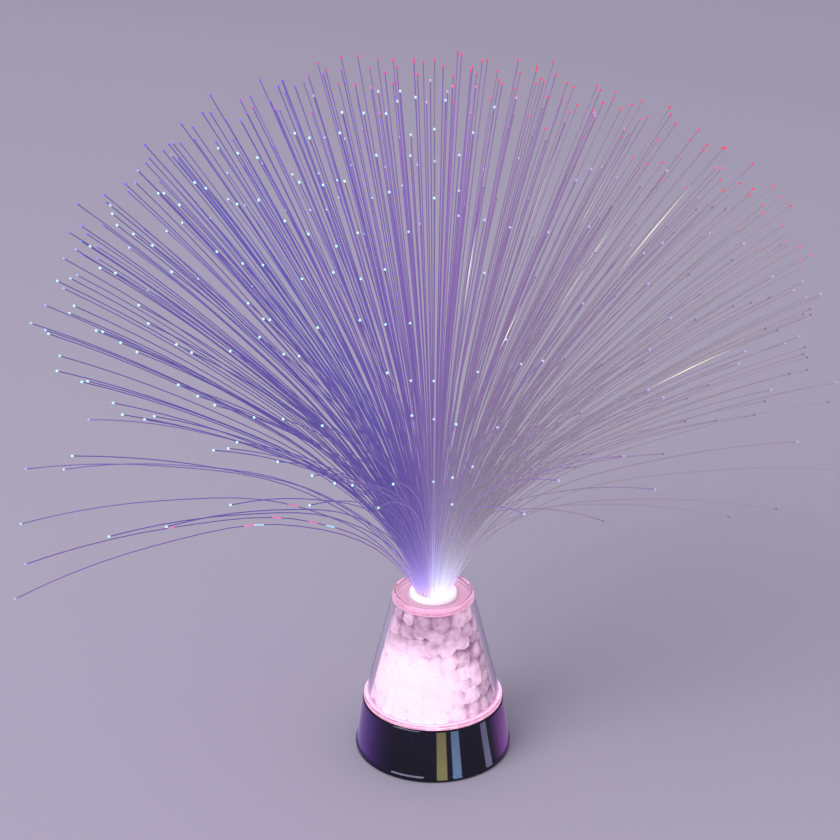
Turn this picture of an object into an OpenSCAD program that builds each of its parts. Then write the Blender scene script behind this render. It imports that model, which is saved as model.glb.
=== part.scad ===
// Fibre optic table lamp. A chrome drum carries a clear cone of crystal chips, and a bundle of optical
// fibres plugs into the top of the cone and spreads into a dome. Light comes from LEDs under the deck.
// Millimetres, +Z up, -Y is the front. The origin is the centre of the foot, on the table.

/* [Base] */
// Room between the battery box's corners and the shell's wall at the foot
base_room = 3.48; // [3.3:0.02:6]
// How far the shell's wall comes in from its foot to the deck
wall_taper = 2.9; // [2:0.1:3.1]
// Room between the tips of the LEDs and the top of the deck
led_room = 1.2; // [1.1:0.1:6]
// Wall of the chrome-plated shell
shell_wall = 1.6; // [1.2:0.1:1.8]
// Thickness of the deck
deck_t = 2; // [1.6:0.1:2.4]
// Height of the lip round the foot
lip_h = 1.8; // [1:0.2:3]
// How far the lip stands out from the wall
lip_step = 0.6; // [0.3:0.1:1]
// Rounding of the deck's outer edge
edge_r = 1.4; // [0.6:0.1:2]
// Width of the deck's ring round the light opening
deck_ring_w = 10.5; // [10.3:0.1:12]
// Thickness of the bottom cover
cover_t = 1.6; // [1.4:0.1:2]

/* [Crystal cone] */
// How far the flange at the cone's foot stands in from the deck's edge
flange_inset = 0.6; // [0.4:0.1:1.2]
// Thickness of the flange
flange_t = 2; // [1.6:0.1:3]
// Step from the flange in to the cone's wall
flange_step = 0.9; // [0.4:0.1:1.4]
// Height of the cone above the deck
cone_h = 57.5; // [50:0.5:65]
// Outer diameter of the rim
rim_d = 38.2; // [37:0.2:42]
// Wall of the clear cone, measured level
cone_wall = 2.4; // [1.8:0.1:2.8]
// Rounding of the rim's edges
rim_r = 0.8; // [0.3:0.1:0.9]
// Depth of the dish in the cone's top
dish_depth = 2.6; // [2:0.1:4]
// Thickness of the dish's floor
dish_t = 2; // [1.5:0.1:3]
// Thickness of the clear floor under the chips
floor_t = 1.4; // [1:0.1:2]
// Width of a snap tab that holds the cone to the deck
tab_w = 6; // [4:0.5:8]

/* [Crystal chips] */
// Usual width of a chip
chip = 6.4; // [6:0.1:7.6]
// Gap that is left round a chip
chip_gap = 0.6; // [0.5:0.1:0.9]
// How far a chip's corners wander, as a share of its edge
chip_scatter = 0.2; // [0:0.02:0.2]
// How far a chip's sides shift round the cone, as a share of its width
chip_shift = 0.26; // [0:0.02:0.26]
// How far the chips' layers rise and dip round the cone, as a share of a layer
layer_dip = 0.24; // [0:0.02:0.24]
// Seed of the chips' irregular shapes
chip_seed = 11; // [1:1:99]

/* [Plug, socket and light tube] */
// Diameter of the fused fibre bundle
bundle_d = 17.2; // [16:0.1:18]
// Wall of the plug's sleeve round the bundle
plug_wall = 0.82; // [0.6:0.02:1]
// Length of the sleeve inside the socket
plug_len = 22; // [16:0.5:26]
// How far the plug's head stands out from its sleeve
plug_head_step = 1.58; // [1.2:0.02:2]
// Height of the plug's head
plug_head_h = 2; // [1.4:0.1:3]
// Wall of the socket's sleeve
socket_wall = 0.95; // [0.8:0.05:1.2]
// How far the socket's flange stands out from its sleeve
socket_flange_step = 1.85; // [1.6:0.05:2.4]
// Thickness of the socket's flange
socket_flange_t = 0.8; // [0.6:0.1:1.2]
// Width of the ledge inside the foot of the socket
socket_ledge = 1.4; // [1:0.1:2]
// Wall of the clear tube inside the chips
tube_wall = 1.3; // [1:0.1:1.5]

/* [Fibres] */
// Rings of fibres in the bundle
fibre_rings = 12; // [12:1:14]
// Straight pieces that each fibre is drawn with
fibre_pieces = 4; // [3:1:6]
// Length of the middle fibres above the bundle
fibre_len = 252; // [200:1:280]
// Share of that length by which the outermost fibres are cut shorter
edge_trim = 0.19; // [0:0.01:0.22]
// How much a fibre's length can differ from its neighbours'
fibre_len_spread = 5; // [0:0.5:10]
// Height of the bundle's polished top above the plug
bundle_rise = 0.4; // [0.2:0.1:1]
// Lean of the dome's lowest fibres at their tips, in degrees from upright
dome_lean = 65; // [50:1:75]
// How much further the strays at the sides lean, in degrees
stray_hang = 60; // [30:1:70]
// Share of its tip's lean that a fibre has at its root
root_share = 0.22; // [0.1:0.01:0.25]
// How early a fibre bends: 1 is evenly along its length, and more is nearer its root
bend_early = 2.4; // [1.5:0.1:3]
// Width of a free fibre, as a share of its width in the bundle
fibre_thin = 0.78; // [0.7:0.02:0.84]
// Seed of the fibres' small differences
fibre_seed = 5; // [1:1:99]

/* [Battery box] */
// Diameter of an AAA cell
cell_d = 10.5; // [10.1:0.1:10.5]
// Length of an AAA cell over its button
cell_len = 44.5; // [44:0.1:44.6]
// Distance between the axes of neighbouring cells
cell_pitch = 11; // [10.8:0.1:11.2]
// Length of a contact spring at rest
spring_len = 4.4; // [4:0.1:4.8]
// Wire of a contact spring
spring_wire = 0.6; // [0.4:0.05:0.6]
// Wall of the battery box
box_wall = 1.2; // [1:0.1:1.3]
// Thickness of a contact plate
plate_t = 0.4; // [0.3:0.05:0.5]
// Gap round the battery door
door_gap = 0.3; // [0.2:0.05:0.4]
// Radius of the door's hinge barrel
barrel_r = 1; // [0.9:0.05:1.1]
// Radius of the door's hinge pins
pin_r = 0.6; // [0.5:0.05:0.65]
// Running gap between a hinge pin and its hole
pin_gap = 0.06; // [0.03:0.01:0.08]

/* [Circuit board] */
// Thickness of the board
board_t = 1.6; // [1.2:0.1:1.8]
// Gap between the battery box and the board, which the wires cross
wire_room = 1.7; // [1.6:0.1:2]
// Lens diameter of an LED
led_d = 5; // [4:0.1:5.2]
// Height of an LED above the board
led_h = 7.2; // [5.5:0.1:7.6]
// Number of LEDs under the chips
side_led_count = 4; // [3:1:6]

/* [Switch] */
// Length of the slide switch's body
switch_l = 11; // [9:0.5:12]
// Width of the slide switch's body
switch_w = 5.4; // [4.5:0.1:6]
// Height of the slide switch's body
switch_h = 5; // [4:0.1:6]
// Travel of the knob
switch_travel = 3; // [2:0.1:3.5]
// Length of the knob along its travel
knob_l = 3.2; // [2.6:0.1:4]
// Width of the knob
knob_w = 2.6; // [2:0.1:3]

/* [Screws and feet] */
// Shank diameter of the cover and board screws
screw_d = 1.9; // [1.7:0.1:2]
// Head diameter of the screws
screw_head_d = 4.2; // [3.6:0.1:4.4]
// Height of a screw's head
screw_head_h = 1.2; // [1:0.1:1.3]
// Diameter of a rubber foot
pad_d = 8; // [6:0.5:8.5]
// How far a rubber foot stands out below the base
pad_rise = 0.8; // [0.6:0.1:1.2]
// Depth of a rubber foot's recess in the cover
pad_sink = 0.6; // [0.4:0.1:0.8]

/* [Hidden] */

// Every round face is a true circle; this only sets how finely it is drawn.
$fn = 96;
// Gap between parts that are dropped or snapped together
fit_gap = 0.15;
// Gap under loose things that rest on a face
seat_gap = 0.3;
// How far a cutter runs past the face that it cuts
over = 1;

// Battery box, with the cells side by side along Y and their ends along X
cover_top = pad_rise + cover_t;
cell_r = cell_d / 2;
cell_button_h = 1;
cell_button_r = 1.9;
cell_lift = 0.4;
cell_z = cover_top + cell_lift + cell_r;
cell_ys = [-cell_pitch, 0, cell_pitch];
// Sign of X at which each cell has its button
cell_signs = [1, -1, 1];
box_in_l = cell_len + spring_len + 2 * plate_t + 0.1;
box_in_w = 2 * cell_pitch + cell_d + 1.5;
box_ceiling = cell_z + cell_r + 0.3;
box_top = box_ceiling + box_wall;
board_z = box_top + wire_room;
board_top = board_z + board_t;
cell_rib_w = 1;
cell_rib_h = 1.8;

// Base, as wide as the battery box needs
box_corner_r = norm([box_in_l / 2 + box_wall, box_in_w / 2 + box_wall]);
wall_foot_r = box_corner_r + base_room + shell_wall;
foot_r = wall_foot_r + lip_step;
top_r = wall_foot_r - wall_taper;
opening_r = top_r - deck_ring_w;
deck_z = board_top + led_h + led_room;
deck_under = deck_z - deck_t;
lip_top = pad_rise + lip_h + lip_step;

// Outer and inner radius of the base's tapered wall at a height
wall_slope = (wall_foot_r - top_r) / (deck_z - edge_r - lip_top);
function shell_out_r(z) = wall_foot_r - wall_slope * (z - lip_top);
function shell_in_r(z) = min(shell_out_r(z), wall_foot_r) - shell_wall;

// Screw bosses under the deck's edge and posts round its opening
boss_r = 3;
boss_angles = [45, 135, 225, 315];
boss_ring_r = top_r - boss_r - 0.5;
screw_bore_r = screw_d / 2 + 0.05;
screw_len = 8;
cover_boss_h = 1.6;
boss_foot_z = cover_top + cover_boss_h;
head_sink_z = pad_rise + screw_head_h + 0.4;
post_r = 2.3;
post_angles = [60, 120, 240, 300];
post_ring_r = opening_r + post_r + 0.5;
board_screw_len = 5;
cross_w = 0.7;
cross_depth = 0.6;

// Rubber feet
pad_angles = [62, 118, 242, 298];
pad_ring_r = foot_r - shell_wall - pad_d / 2 - 1.9;

// Battery door, flush with the cover and hinged on the low-X side
hinge_x = -box_in_l / 2 - 0.4;
hinge_z = pad_rise + barrel_r;
door_end_x = box_in_l / 2;
door_w = box_in_w - 2 * door_gap;
door_open_x = hinge_x - barrel_r - door_gap;
pin_len = 1;
latch_w = 12;
latch_slot = 1;
latch_len = 6;
grip_l = 3;
grip_side = 1.5;
grip_end = 1;
grip_depth = 0.5;
grip_ribs = 3;

// Contact plates and their tags
plate_half_w = 4;
plate_low_z = cell_z - plate_half_w;
plate_h = 8.2;
tag_w = 2;
tag_h = 1.6;
tag_len = 1.6;
tag_z = plate_low_z + plate_h - tag_h;
tag_tip_x = box_in_l / 2 + box_wall + tag_len;
spring_turns = 3;
spring_foot_r = 3.5;
spring_tip_r = 2.3;
spring_seat = 0.05;
spring_tip_gap = 0.1;
spring_steps = 8;
spring_sides = 6;

// Bundle, plug, socket and light tube, each round the one before
glue_gap = 0.1;
plug_gap = 0.08;
bundle_r = bundle_d / 2;
plug_bore_r = bundle_r + glue_gap;
plug_r = plug_bore_r + plug_wall;
plug_head_r = plug_r + plug_head_step;
socket_bore_r = plug_r + plug_gap;
socket_r = socket_bore_r + socket_wall;
socket_flange_r = socket_r + socket_flange_step;
tube_bore_r = socket_r + fit_gap;
tube_r = tube_bore_r + tube_wall;

// Circuit board, hung under the deck with the LEDs pointing up through the opening
board_r = post_ring_r + post_r;
led_rim_r = led_d / 2 + 0.4;
led_rim_h = 1;
side_led_ring_r = (tube_bore_r + opening_r) / 2;
// Angles at which the controller, the resistors and the capacitor stand, between the side LEDs
parts_angles = [225, 315, 45];
resistor_l = 2;
resistor_w = 1.25;
resistor_h = 0.5;
resistor_pitch = 3;
cup_foot_r = led_rim_r + 0.5;
cup_wall = 0.9;
chip_l = 5;
chip_w = 4;
chip_h = 1.5;
lead_w = 0.4;
lead_reach = 0.9;
lead_t = 0.2;
capacitor_r = 2;
capacitor_h = 4.6;
capacitor_edge = 0.4;

// Slide switch in a well of the cover, behind the battery box
well_wall = 1.2;
well_l = switch_l + 2;
well_w = switch_w + 1.4;
well_y = box_in_w / 2 + box_wall + 1.6 + well_w / 2;
well_floor_z = cover_top + 1;
switch_z = well_floor_z + well_wall;
knob_tip_z = pad_rise + 0.5;
terminal_x = 2.5;
terminal_h = 1.4;

// Crystal cone
flange_r = top_r - flange_inset;
cone_foot_r = flange_r - flange_step;
cone_foot_z = deck_z + flange_t;
rim_z = deck_z + cone_h;
rim_out_r = rim_d / 2;
dish_z = rim_z - dish_depth;
dish_under = dish_z - dish_t;
floor_top = deck_z + floor_t;
cone_slope = (cone_foot_r - rim_out_r) / (rim_z - cone_foot_z);
function cone_out_r(z) = cone_foot_r - cone_slope * (z - cone_foot_z);
function cone_in_r(z) = cone_out_r(z) - cone_wall;
tab_t = 1.2;
tab_out_r = flange_r - 1.3;
tab_hook = 0.8;
tab_hook_h = 1;
tab_slot_gap = 0.25;
tab_angles = [0, 90, 180, 270];

// Heights of the plug and its socket in the dish
ledge_t = 1;
plug_seat_z = dish_z + socket_flange_t;
plug_foot_z = plug_seat_z - plug_len;
socket_foot_z = plug_foot_z - seat_gap - ledge_t;
bundle_top_z = plug_seat_z + plug_head_h + bundle_rise;

// Chips: level layers between the floor and the dish, in rings between the tube and the cone
chips_low_z = floor_top + seat_gap;
chips_high_z = dish_under - seat_gap;
chip_layers = max(3, round((chips_high_z - chips_low_z) / chip));
middle_layer = ceil(chip_layers / 3);
upper_layer = ceil(2 * chip_layers / 3);
chip_wander = rands(-1, 1, 4001, chip_seed);

// Fibres: the bundle's rings are shared out to three groups
ring_step = bundle_r / fibre_rings;
middle_ring = round(fibre_rings / 2);
outer_ring = round(fibre_rings * 3 / 4);
slice_gap = 0.04;
// How far a fibre's lean strays from its ring's, as a share of a ring: under a half, so that none cross
ring_wander = 0.35;
fibre_wander = rands(-1, 1, 3 * fibre_rings * (fibre_rings + 1), fibre_seed);

// ---- Shared shapes ----

// Points of an arc of radius r about [x, z], from angle a to angle b
function arc(x, z, r, a, b, steps = 6) =
    [for (i = [0:steps]) let (t = a + (b - a) * i / steps) [x + r * cos(t), z + r * sin(t)]];

// A ring between two radii and two heights
module ring(r_in, r_out, z_low, z_high)
    rotate_extrude() translate([r_in, z_low]) square([r_out - r_in, z_high - z_low]);

// A box given by its middle in X and Y, its size there, and its lowest and highest Z
module block(x, y, l, w, z_low, z_high)
    translate([x - l / 2, y - w / 2, z_low]) cube([l, w, z_high - z_low]);

// Copies of the children at a radius, one at each angle
module at_angles(angles, r)
    for (a = angles) rotate(a) translate([r, 0, 0]) rotate(-a) children();

// A tube along a path: rings of points square to it, sewn with triangles
function unit(v) = v / norm(v);
function path_way(path, i) = unit(path[min(i + 1, len(path) - 1)] - path[max(i - 1, 0)]);
function square_to(v, way) = unit(v - (v * way) * way);
function path_sides(path, start) =
    [for (i = 0, s = square_to(start, path_way(path, 0)); i < len(path);
          i = i + 1, s = i < len(path) ? square_to(s, path_way(path, i)) : s) s];
module tube(path, r, sides, start) {
    side_ways = path_sides(path, start);
    points = [for (i = [0:len(path) - 1], j = [0:sides - 1])
        let (up = side_ways[i], a = 360 * j / sides)
        path[i] + r * (cos(a) * up + sin(a) * cross(path_way(path, i), up))];
    last = (len(path) - 1) * sides;
    faces = [
        for (i = [0:len(path) - 2], j = [0:sides - 1], half = [0, 1])
            let (a = i * sides + j, b = i * sides + (j + 1) % sides)
            half == 0 ? [a, a + sides, b] : [b, a + sides, b + sides],
        for (j = [1:sides - 2]) [0, j, j + 1],
        for (j = [1:sides - 2]) [last, last + j + 1, last + j]];
    polyhedron(points, faces);
}

// A wire's round route through a few points, with its corners drawn as curves
wire_r = 0.6;
wire_sides = 8;
bend_steps = 4;
function bend(a, b, c) =
    [for (i = [0:bend_steps]) let (t = i / bend_steps)
        (1 - t) * (1 - t) * (a + b) / 2 + 2 * t * (1 - t) * b + t * t * (b + c) / 2];
function wire_route(p) =
    concat([p[0]], [for (i = [1:len(p) - 2]) each bend(p[i - 1], p[i], p[i + 1])], [p[len(p) - 1]]);

// A pan-head screw that points up from z, with a cross in its head
module screw(z, shank_len) {
    difference() {
        union() {
            translate([0, 0, z - screw_head_h]) cylinder(h = screw_head_h, r = screw_head_d / 2);
            translate([0, 0, z]) cylinder(h = shank_len, r = screw_d / 2);
        }
        for (turn = [0, 90]) rotate(turn)
            block(0, 0, screw_head_d * 0.6, cross_w, z - screw_head_h - over,
                  z - screw_head_h + cross_depth);
    }
}

// ---- Base ----

// Chrome-plated drum: lip, tapered wall, rounded deck edge, screw bosses and board posts inside
module base_shell() color([0.74, 0.75, 0.8]) difference() {
    union() {
        rotate_extrude() polygon(concat(
            [[foot_r - lip_step - shell_wall, pad_rise], [foot_r, pad_rise], [foot_r, pad_rise + lip_h],
             [wall_foot_r, lip_top]],
            arc(top_r - edge_r, deck_z - edge_r, edge_r, 0, 90),
            [[opening_r, deck_z], [opening_r, deck_under], [shell_in_r(deck_under), deck_under],
             [shell_in_r(lip_top), lip_top]]));
        at_angles(boss_angles, boss_ring_r) translate([0, 0, boss_foot_z])
            cylinder(h = deck_under + over / 2 - boss_foot_z, r = boss_r);
        at_angles(post_angles, post_ring_r) translate([0, 0, board_top])
            cylinder(h = deck_under + over / 2 - board_top, r = post_r);
    }
    at_angles(boss_angles, boss_ring_r) translate([0, 0, boss_foot_z - over])
        cylinder(h = screw_len + over, r = screw_bore_r);
    at_angles(post_angles, post_ring_r) translate([0, 0, board_top - over])
        cylinder(h = board_screw_len + over, r = screw_bore_r);
    for (a = tab_angles) rotate(a) intersection() {
        ring(tab_out_r - tab_t - tab_slot_gap, tab_out_r + tab_slot_gap, deck_under - over, deck_z + over);
        block(tab_out_r, 0, 2 * tab_w, tab_w + 2 * tab_slot_gap, deck_under - over, deck_z + over);
    }
}

// Bottom cover with the battery box and the switch well moulded in
module bottom_cover() color([0.16, 0.16, 0.18]) difference() {
    union() {
        translate([0, 0, pad_rise]) cylinder(h = cover_t, r = foot_r - lip_step - shell_wall - fit_gap);
        block(0, 0, box_in_l + 2 * box_wall, box_in_w + 2 * box_wall, cover_top - over, box_top);
        block(0, well_y, well_l + 2 * well_wall, well_w + 2 * well_wall, cover_top - over, switch_z + 1);
        at_angles(boss_angles, boss_ring_r) translate([0, 0, pad_rise])
            cylinder(h = boss_foot_z - pad_rise, r = boss_r + 0.4);
    }
    difference() {
        block(0, 0, box_in_l, box_in_w, pad_rise - over, box_ceiling);
        for (side = [-1, 1]) block(0, side * cell_pitch / 2, box_in_l - 6, cell_rib_w,
                                   box_ceiling - cell_rib_h, box_top);
    }
    translate([door_open_x, -box_in_w / 2, pad_rise - over])
        cube([-door_open_x + door_end_x + door_gap, box_in_w, 2 * barrel_r + door_gap + over]);
    translate([hinge_x, 0, hinge_z]) rotate([90, 0, 0])
        cylinder(h = door_w + 2 * pin_len + 4 * door_gap, r = pin_r + pin_gap, center = true);
    for (end = [[1, cell_ys[0]], [-1, cell_ys[2]]])
        block(end[0] * box_in_l / 2, end[1], 2 * box_wall + over, tag_w + 0.3, tag_z - 0.15,
              tag_z + tag_h + 0.15);
    block(0, well_y, well_l, well_w, pad_rise - over, well_floor_z);
    block(0, well_y, knob_l + switch_travel + 0.8, knob_w + 0.6, pad_rise, switch_z + over);
    block(0, well_y, switch_l + 2 * fit_gap, switch_w + 2 * fit_gap, switch_z, switch_z + 2);
    at_angles(pad_angles, pad_ring_r) translate([0, 0, pad_rise - over])
        cylinder(h = pad_sink + over, r = pad_d / 2 + fit_gap);
    at_angles(boss_angles, boss_ring_r) {
        translate([0, 0, pad_rise - over]) cylinder(h = head_sink_z - pad_rise + over,
                                                    r = screw_head_d / 2 + 0.2);
        translate([0, 0, pad_rise]) cylinder(h = boss_foot_z, r = screw_d / 2 + 0.2);
    }
}

// Self-tapping screws that hold the cover to the shell
module cover_screws() color([0.7, 0.7, 0.72])
    at_angles(boss_angles, boss_ring_r) screw(head_sink_z, screw_len + cover_boss_h - 1);

// Glued rubber feet
module rubber_feet() color([0.08, 0.08, 0.09])
    at_angles(pad_angles, pad_ring_r) rotate_extrude()
        polygon([[0, 0], [pad_d / 2 - 0.4, 0], [pad_d / 2, 0.4], [pad_d / 2, pad_rise + pad_sink],
                 [0, pad_rise + pad_sink]]);

// ---- Battery box ----

// Door with a barrel and two pins at one end, and a sprung tongue with grip ribs at the other
module battery_door() color([0.16, 0.16, 0.18]) {
    tongue_x = door_end_x - latch_len / 2;
    grip_x = door_end_x - grip_l - grip_end;
    difference() {
        union() {
            translate([hinge_x, -door_w / 2, pad_rise]) cube([door_end_x - hinge_x, door_w, cover_t]);
            translate([hinge_x, 0, hinge_z]) rotate([90, 0, 0])
                cylinder(h = door_w, r = barrel_r, center = true);
            translate([hinge_x, 0, hinge_z]) rotate([90, 0, 0])
                cylinder(h = door_w + 2 * pin_len + 2 * door_gap, r = pin_r, center = true);
        }
        for (side = [-1, 1]) block(tongue_x, side * (latch_w + latch_slot) / 2, latch_len + over, latch_slot,
                                   pad_rise - over, cover_top + over);
        for (i = [0:grip_ribs - 1]) block(grip_x - i * grip_l / 2, 0, grip_l / 4, latch_w - 2 * grip_side,
                                          pad_rise - over, pad_rise + grip_depth);
    }
}

// One cell, lying along X with its button at the side that its sign gives
module battery(i) color([0.85, 0.62, 0.2])
    translate([cell_signs[i] * (box_in_l / 2 - plate_t - 0.05), cell_ys[i], cell_z])
        rotate([0, -90 * cell_signs[i], 0]) rotate_extrude() polygon([
            [0, 0], [cell_button_r, 0], [cell_button_r, cell_button_h], [cell_r - 0.6, cell_button_h],
            [cell_r, cell_button_h + 0.6], [cell_r, cell_len - 0.4], [cell_r - 0.4, cell_len], [0, cell_len]]);

// One contact plate on the end wall at side x_sign, from y_low to y_high
module contact_plate(x_sign, y_low, y_high) {
    x = x_sign * (box_in_l - plate_t) / 2;
    block(x, (y_low + y_high) / 2, plate_t, y_high - y_low, plate_low_z, plate_low_z + plate_h);
}

// A solder tag that goes out through the end wall
module contact_tag(x_sign, y) {
    tag_reach = box_wall + tag_len + plate_t;
    block(x_sign * (tag_tip_x - tag_reach / 2), y, tag_reach, tag_w, tag_z, tag_z + tag_h);
}

// Four plates join the three cells in a row, and the first and last carry a tag
module contact_plates() color([0.8, 0.8, 0.78]) {
    union() {
        contact_plate(1, cell_ys[0] - plate_half_w, cell_ys[0] + plate_half_w);
        contact_tag(1, cell_ys[0]);
    }
    union() {
        contact_plate(-1, cell_ys[2] - plate_half_w, cell_ys[2] + plate_half_w);
        contact_tag(-1, cell_ys[2]);
    }
    contact_plate(1, cell_ys[1] - plate_half_w, cell_ys[2] + plate_half_w);
    contact_plate(-1, cell_ys[0] - plate_half_w, cell_ys[1] + plate_half_w);
}

// A conical spring's wire as points about its own axis, from the plate to the cell
spring_pitch = (spring_len - 2 * (spring_seat + spring_tip_gap / 2) - spring_wire) / spring_turns;
function spring_point(turn) =
    let (r = spring_foot_r + (spring_tip_r - spring_foot_r) * turn / spring_turns)
    [r * cos(360 * turn), r * sin(360 * turn), spring_wire / 2 + spring_seat + spring_pitch * turn];
spring_path = [for (i = [0:spring_turns * spring_steps]) spring_point(i / spring_steps)];
// Least gap between neighbouring turns, from points one turn apart
spring_gap = min([for (i = [0:(spring_turns - 1) * spring_steps])
    norm(spring_path[i + spring_steps] - spring_path[i])]) - spring_wire;

// Conical springs press on the cells' flat ends
module contact_springs() color([0.8, 0.8, 0.78]) {
    echo(spring_gap = spring_gap);
    for (i = [0:2])
        translate([-cell_signs[i] * (box_in_l / 2 - plate_t), cell_ys[i], cell_z])
            rotate([0, 90 * cell_signs[i], 0]) tube(spring_path, spring_wire / 2, spring_sides, [1, 0, 0]);
}

// ---- Circuit board ----

// Round board, notched round the cover's screw bosses
module led_board() color([0.1, 0.35, 0.16]) difference() {
    translate([0, 0, board_z]) cylinder(h = board_t, r = board_r);
    at_angles(boss_angles, boss_ring_r) translate([0, 0, board_z - over])
        cylinder(h = board_t + 2 * over, r = boss_r + 0.5);
    at_angles(post_angles, post_ring_r) translate([0, 0, board_z - over])
        cylinder(h = board_t + 2 * over, r = screw_d / 2 + 0.2);
}

// Screws that hold the board up to its posts
module board_screws() color([0.7, 0.7, 0.72])
    at_angles(post_angles, post_ring_r) screw(board_z, board_screw_len + board_t - 1);

// A round LED: rim, body and domed lens
module led() rotate_extrude() polygon(concat(
    [[0, board_top], [led_rim_r, board_top], [led_rim_r, board_top + led_rim_h],
     [led_d / 2, board_top + led_rim_h]],
    arc(0, board_top + led_h - led_d / 2, led_d / 2, 0, 90)));

// The LED under the fibre bundle
module centre_led() color([0.9, 0.9, 1, 0.8]) led();

// The LEDs under the chips
module side_leds() color([0.9, 0.9, 1, 0.8])
    at_angles([for (i = [0:side_led_count - 1]) 360 * i / side_led_count], side_led_ring_r) led();

// White cup that throws the centre LED's light up the tube
module reflector_cup() color([0.93, 0.93, 0.93]) rotate_extrude() polygon([
    [cup_foot_r, board_top], [cup_foot_r + cup_wall, board_top],
    [tube_bore_r, deck_z - fit_gap], [tube_bore_r - cup_wall, deck_z - fit_gap]]);

// Controller with four leads a side
module control_chip() color([0.12, 0.12, 0.13]) at_angles([parts_angles[0]], side_led_ring_r) {
    block(0, 0, chip_w, chip_l, board_top + lead_t, board_top + chip_h);
    for (side = [-1, 1], i = [0:3])
        block(side * (chip_w + lead_reach) / 2, (i - 1.5) * chip_l / 4, lead_reach, lead_w,
              board_top, board_top + chip_h / 2);
}

// Chip resistors, one for each colour of the side LEDs
module resistors() color([0.1, 0.1, 0.1]) at_angles([parts_angles[1]], side_led_ring_r)
    for (i = [-1:1]) block(0, i * resistor_pitch, resistor_l, resistor_w, board_top, board_top + resistor_h);

// Can capacitor with a rolled edge
module capacitor() color([0.25, 0.3, 0.5])
    at_angles([parts_angles[2]], side_led_ring_r) translate([0, 0, board_top]) rotate_extrude() polygon([
        [0, 0], [capacitor_r, 0], [capacitor_r, capacitor_h - capacitor_edge],
        [capacitor_r - capacitor_edge, capacitor_h], [0, capacitor_h]]);

// ---- Switch and wires ----

// Metal case of the slide switch, with two terminals on top
module switch_body() color([0.62, 0.62, 0.6]) {
    block(0, well_y, switch_l, switch_w, switch_z, switch_z + switch_h);
    for (side = [-1, 1]) block(side * terminal_x, well_y, 0.5, 1.4, switch_z + switch_h - 0.2,
                               switch_z + switch_h + terminal_h);
}

// Knob, at the end of its travel where the lamp is on
module switch_knob() color([0.1, 0.1, 0.11]) difference() {
    block(-switch_travel / 2, well_y, knob_l, knob_w, knob_tip_z, switch_z - 0.05);
    for (i = [-1, 1]) block(-switch_travel / 2 + i * knob_l / 5, well_y, knob_l / 8, knob_w + over,
                            knob_tip_z - over, knob_tip_z + 0.4);
}

// Wires run level between the battery box and the board. Their ends lie against what they are soldered to.
wire_z = box_top + wire_room / 2;
solder_gap = 0.05;
// How far a wire runs along before it turns, and how far it swings aside there
wire_run = 5;
wire_swing = 1;
tag_wire_x = tag_tip_x + wire_r + solder_gap;
pad_wire_z = board_z - wire_r - solder_gap;
terminal_wire_z = switch_z + switch_h + terminal_h + solder_gap;
// Where the red wire and the switch's wire meet the board
red_joint_x = side_led_ring_r - led_rim_r - wire_r;
switch_joint = [terminal_x + wire_run, well_y - 1.5 * wire_run];

// From the first plate's tag to the board
module red_wire() color([0.75, 0.1, 0.1]) tube(wire_route([
    [tag_wire_x, cell_ys[0], tag_z], [tag_wire_x, cell_ys[0], wire_z],
    [tag_wire_x - wire_run, cell_ys[0] - wire_swing, wire_z],
    [red_joint_x + wire_run, cell_ys[0] - wire_swing, wire_z],
    [red_joint_x, cell_ys[0], pad_wire_z]]), wire_r, wire_sides, [1, 0, 0]);

// From the last plate's tag to the switch
module black_wire() color([0.1, 0.1, 0.1]) tube(wire_route([
    [-tag_wire_x, cell_ys[2], tag_z], [-tag_wire_x, cell_ys[2], wire_z],
    [-tag_wire_x + wire_run, cell_ys[2] + wire_swing, wire_z],
    [-terminal_x - wire_run, well_y - wire_run, wire_z],
    [-terminal_x, well_y, wire_z], [-terminal_x, well_y, terminal_wire_z]]), wire_r, wire_sides, [1, 0, 0]);

// From the switch to the board
module switch_wire() color([0.85, 0.85, 0.85]) tube(wire_route([
    [terminal_x, well_y, terminal_wire_z], [terminal_x, well_y, wire_z],
    [switch_joint[0], switch_joint[1], pad_wire_z]]), wire_r, wire_sides, [1, 0, 0]);

// ---- Crystal cone ----

// Clear floor disc, dropped into the cone's foot and carried by the deck
module cone_floor() color([0.9, 0.9, 0.95, 0.4]) translate([0, 0, deck_z])
    cylinder(h = floor_t, r = cone_in_r(floor_top) - fit_gap);

// Clear cone in one moulding: flange, slanted wall, rounded rim, dish and four snap tabs
module crystal_cone() color([0.86, 0.84, 0.95, 0.35]) {
    rotate_extrude() polygon(concat(
        [[flange_r - 0.4, deck_z], [flange_r, deck_z + 0.4], [flange_r, cone_foot_z - 0.4],
         [flange_r - 0.4, cone_foot_z], [cone_foot_r, cone_foot_z]],
        arc(rim_out_r - rim_r, rim_z - rim_r, rim_r, 0, 90),
        arc(rim_out_r - cone_wall + rim_r, rim_z - rim_r, rim_r, 90, 180),
        [[rim_out_r - cone_wall, dish_z], [tube_bore_r, dish_z], [tube_bore_r, dish_under],
         [cone_in_r(dish_under), dish_under], [cone_in_r(deck_z), deck_z]]));
    for (a = tab_angles) rotate(a) intersection() {
        rotate_extrude() polygon([
            [tab_out_r, deck_z + 0.2], [tab_out_r, deck_under - tab_hook_h - 0.3],
            [tab_out_r - tab_t, deck_under - tab_hook_h - 0.3],
            [tab_out_r - tab_t - tab_hook, deck_under - 0.4], [tab_out_r - tab_t - tab_hook, deck_under - 0.1],
            [tab_out_r - tab_t, deck_under - 0.1], [tab_out_r - tab_t, deck_z + 0.2]]);
        block(tab_out_r, 0, 2 * tab_w, tab_w, deck_under - 3, deck_z + over);
    }
}

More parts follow.
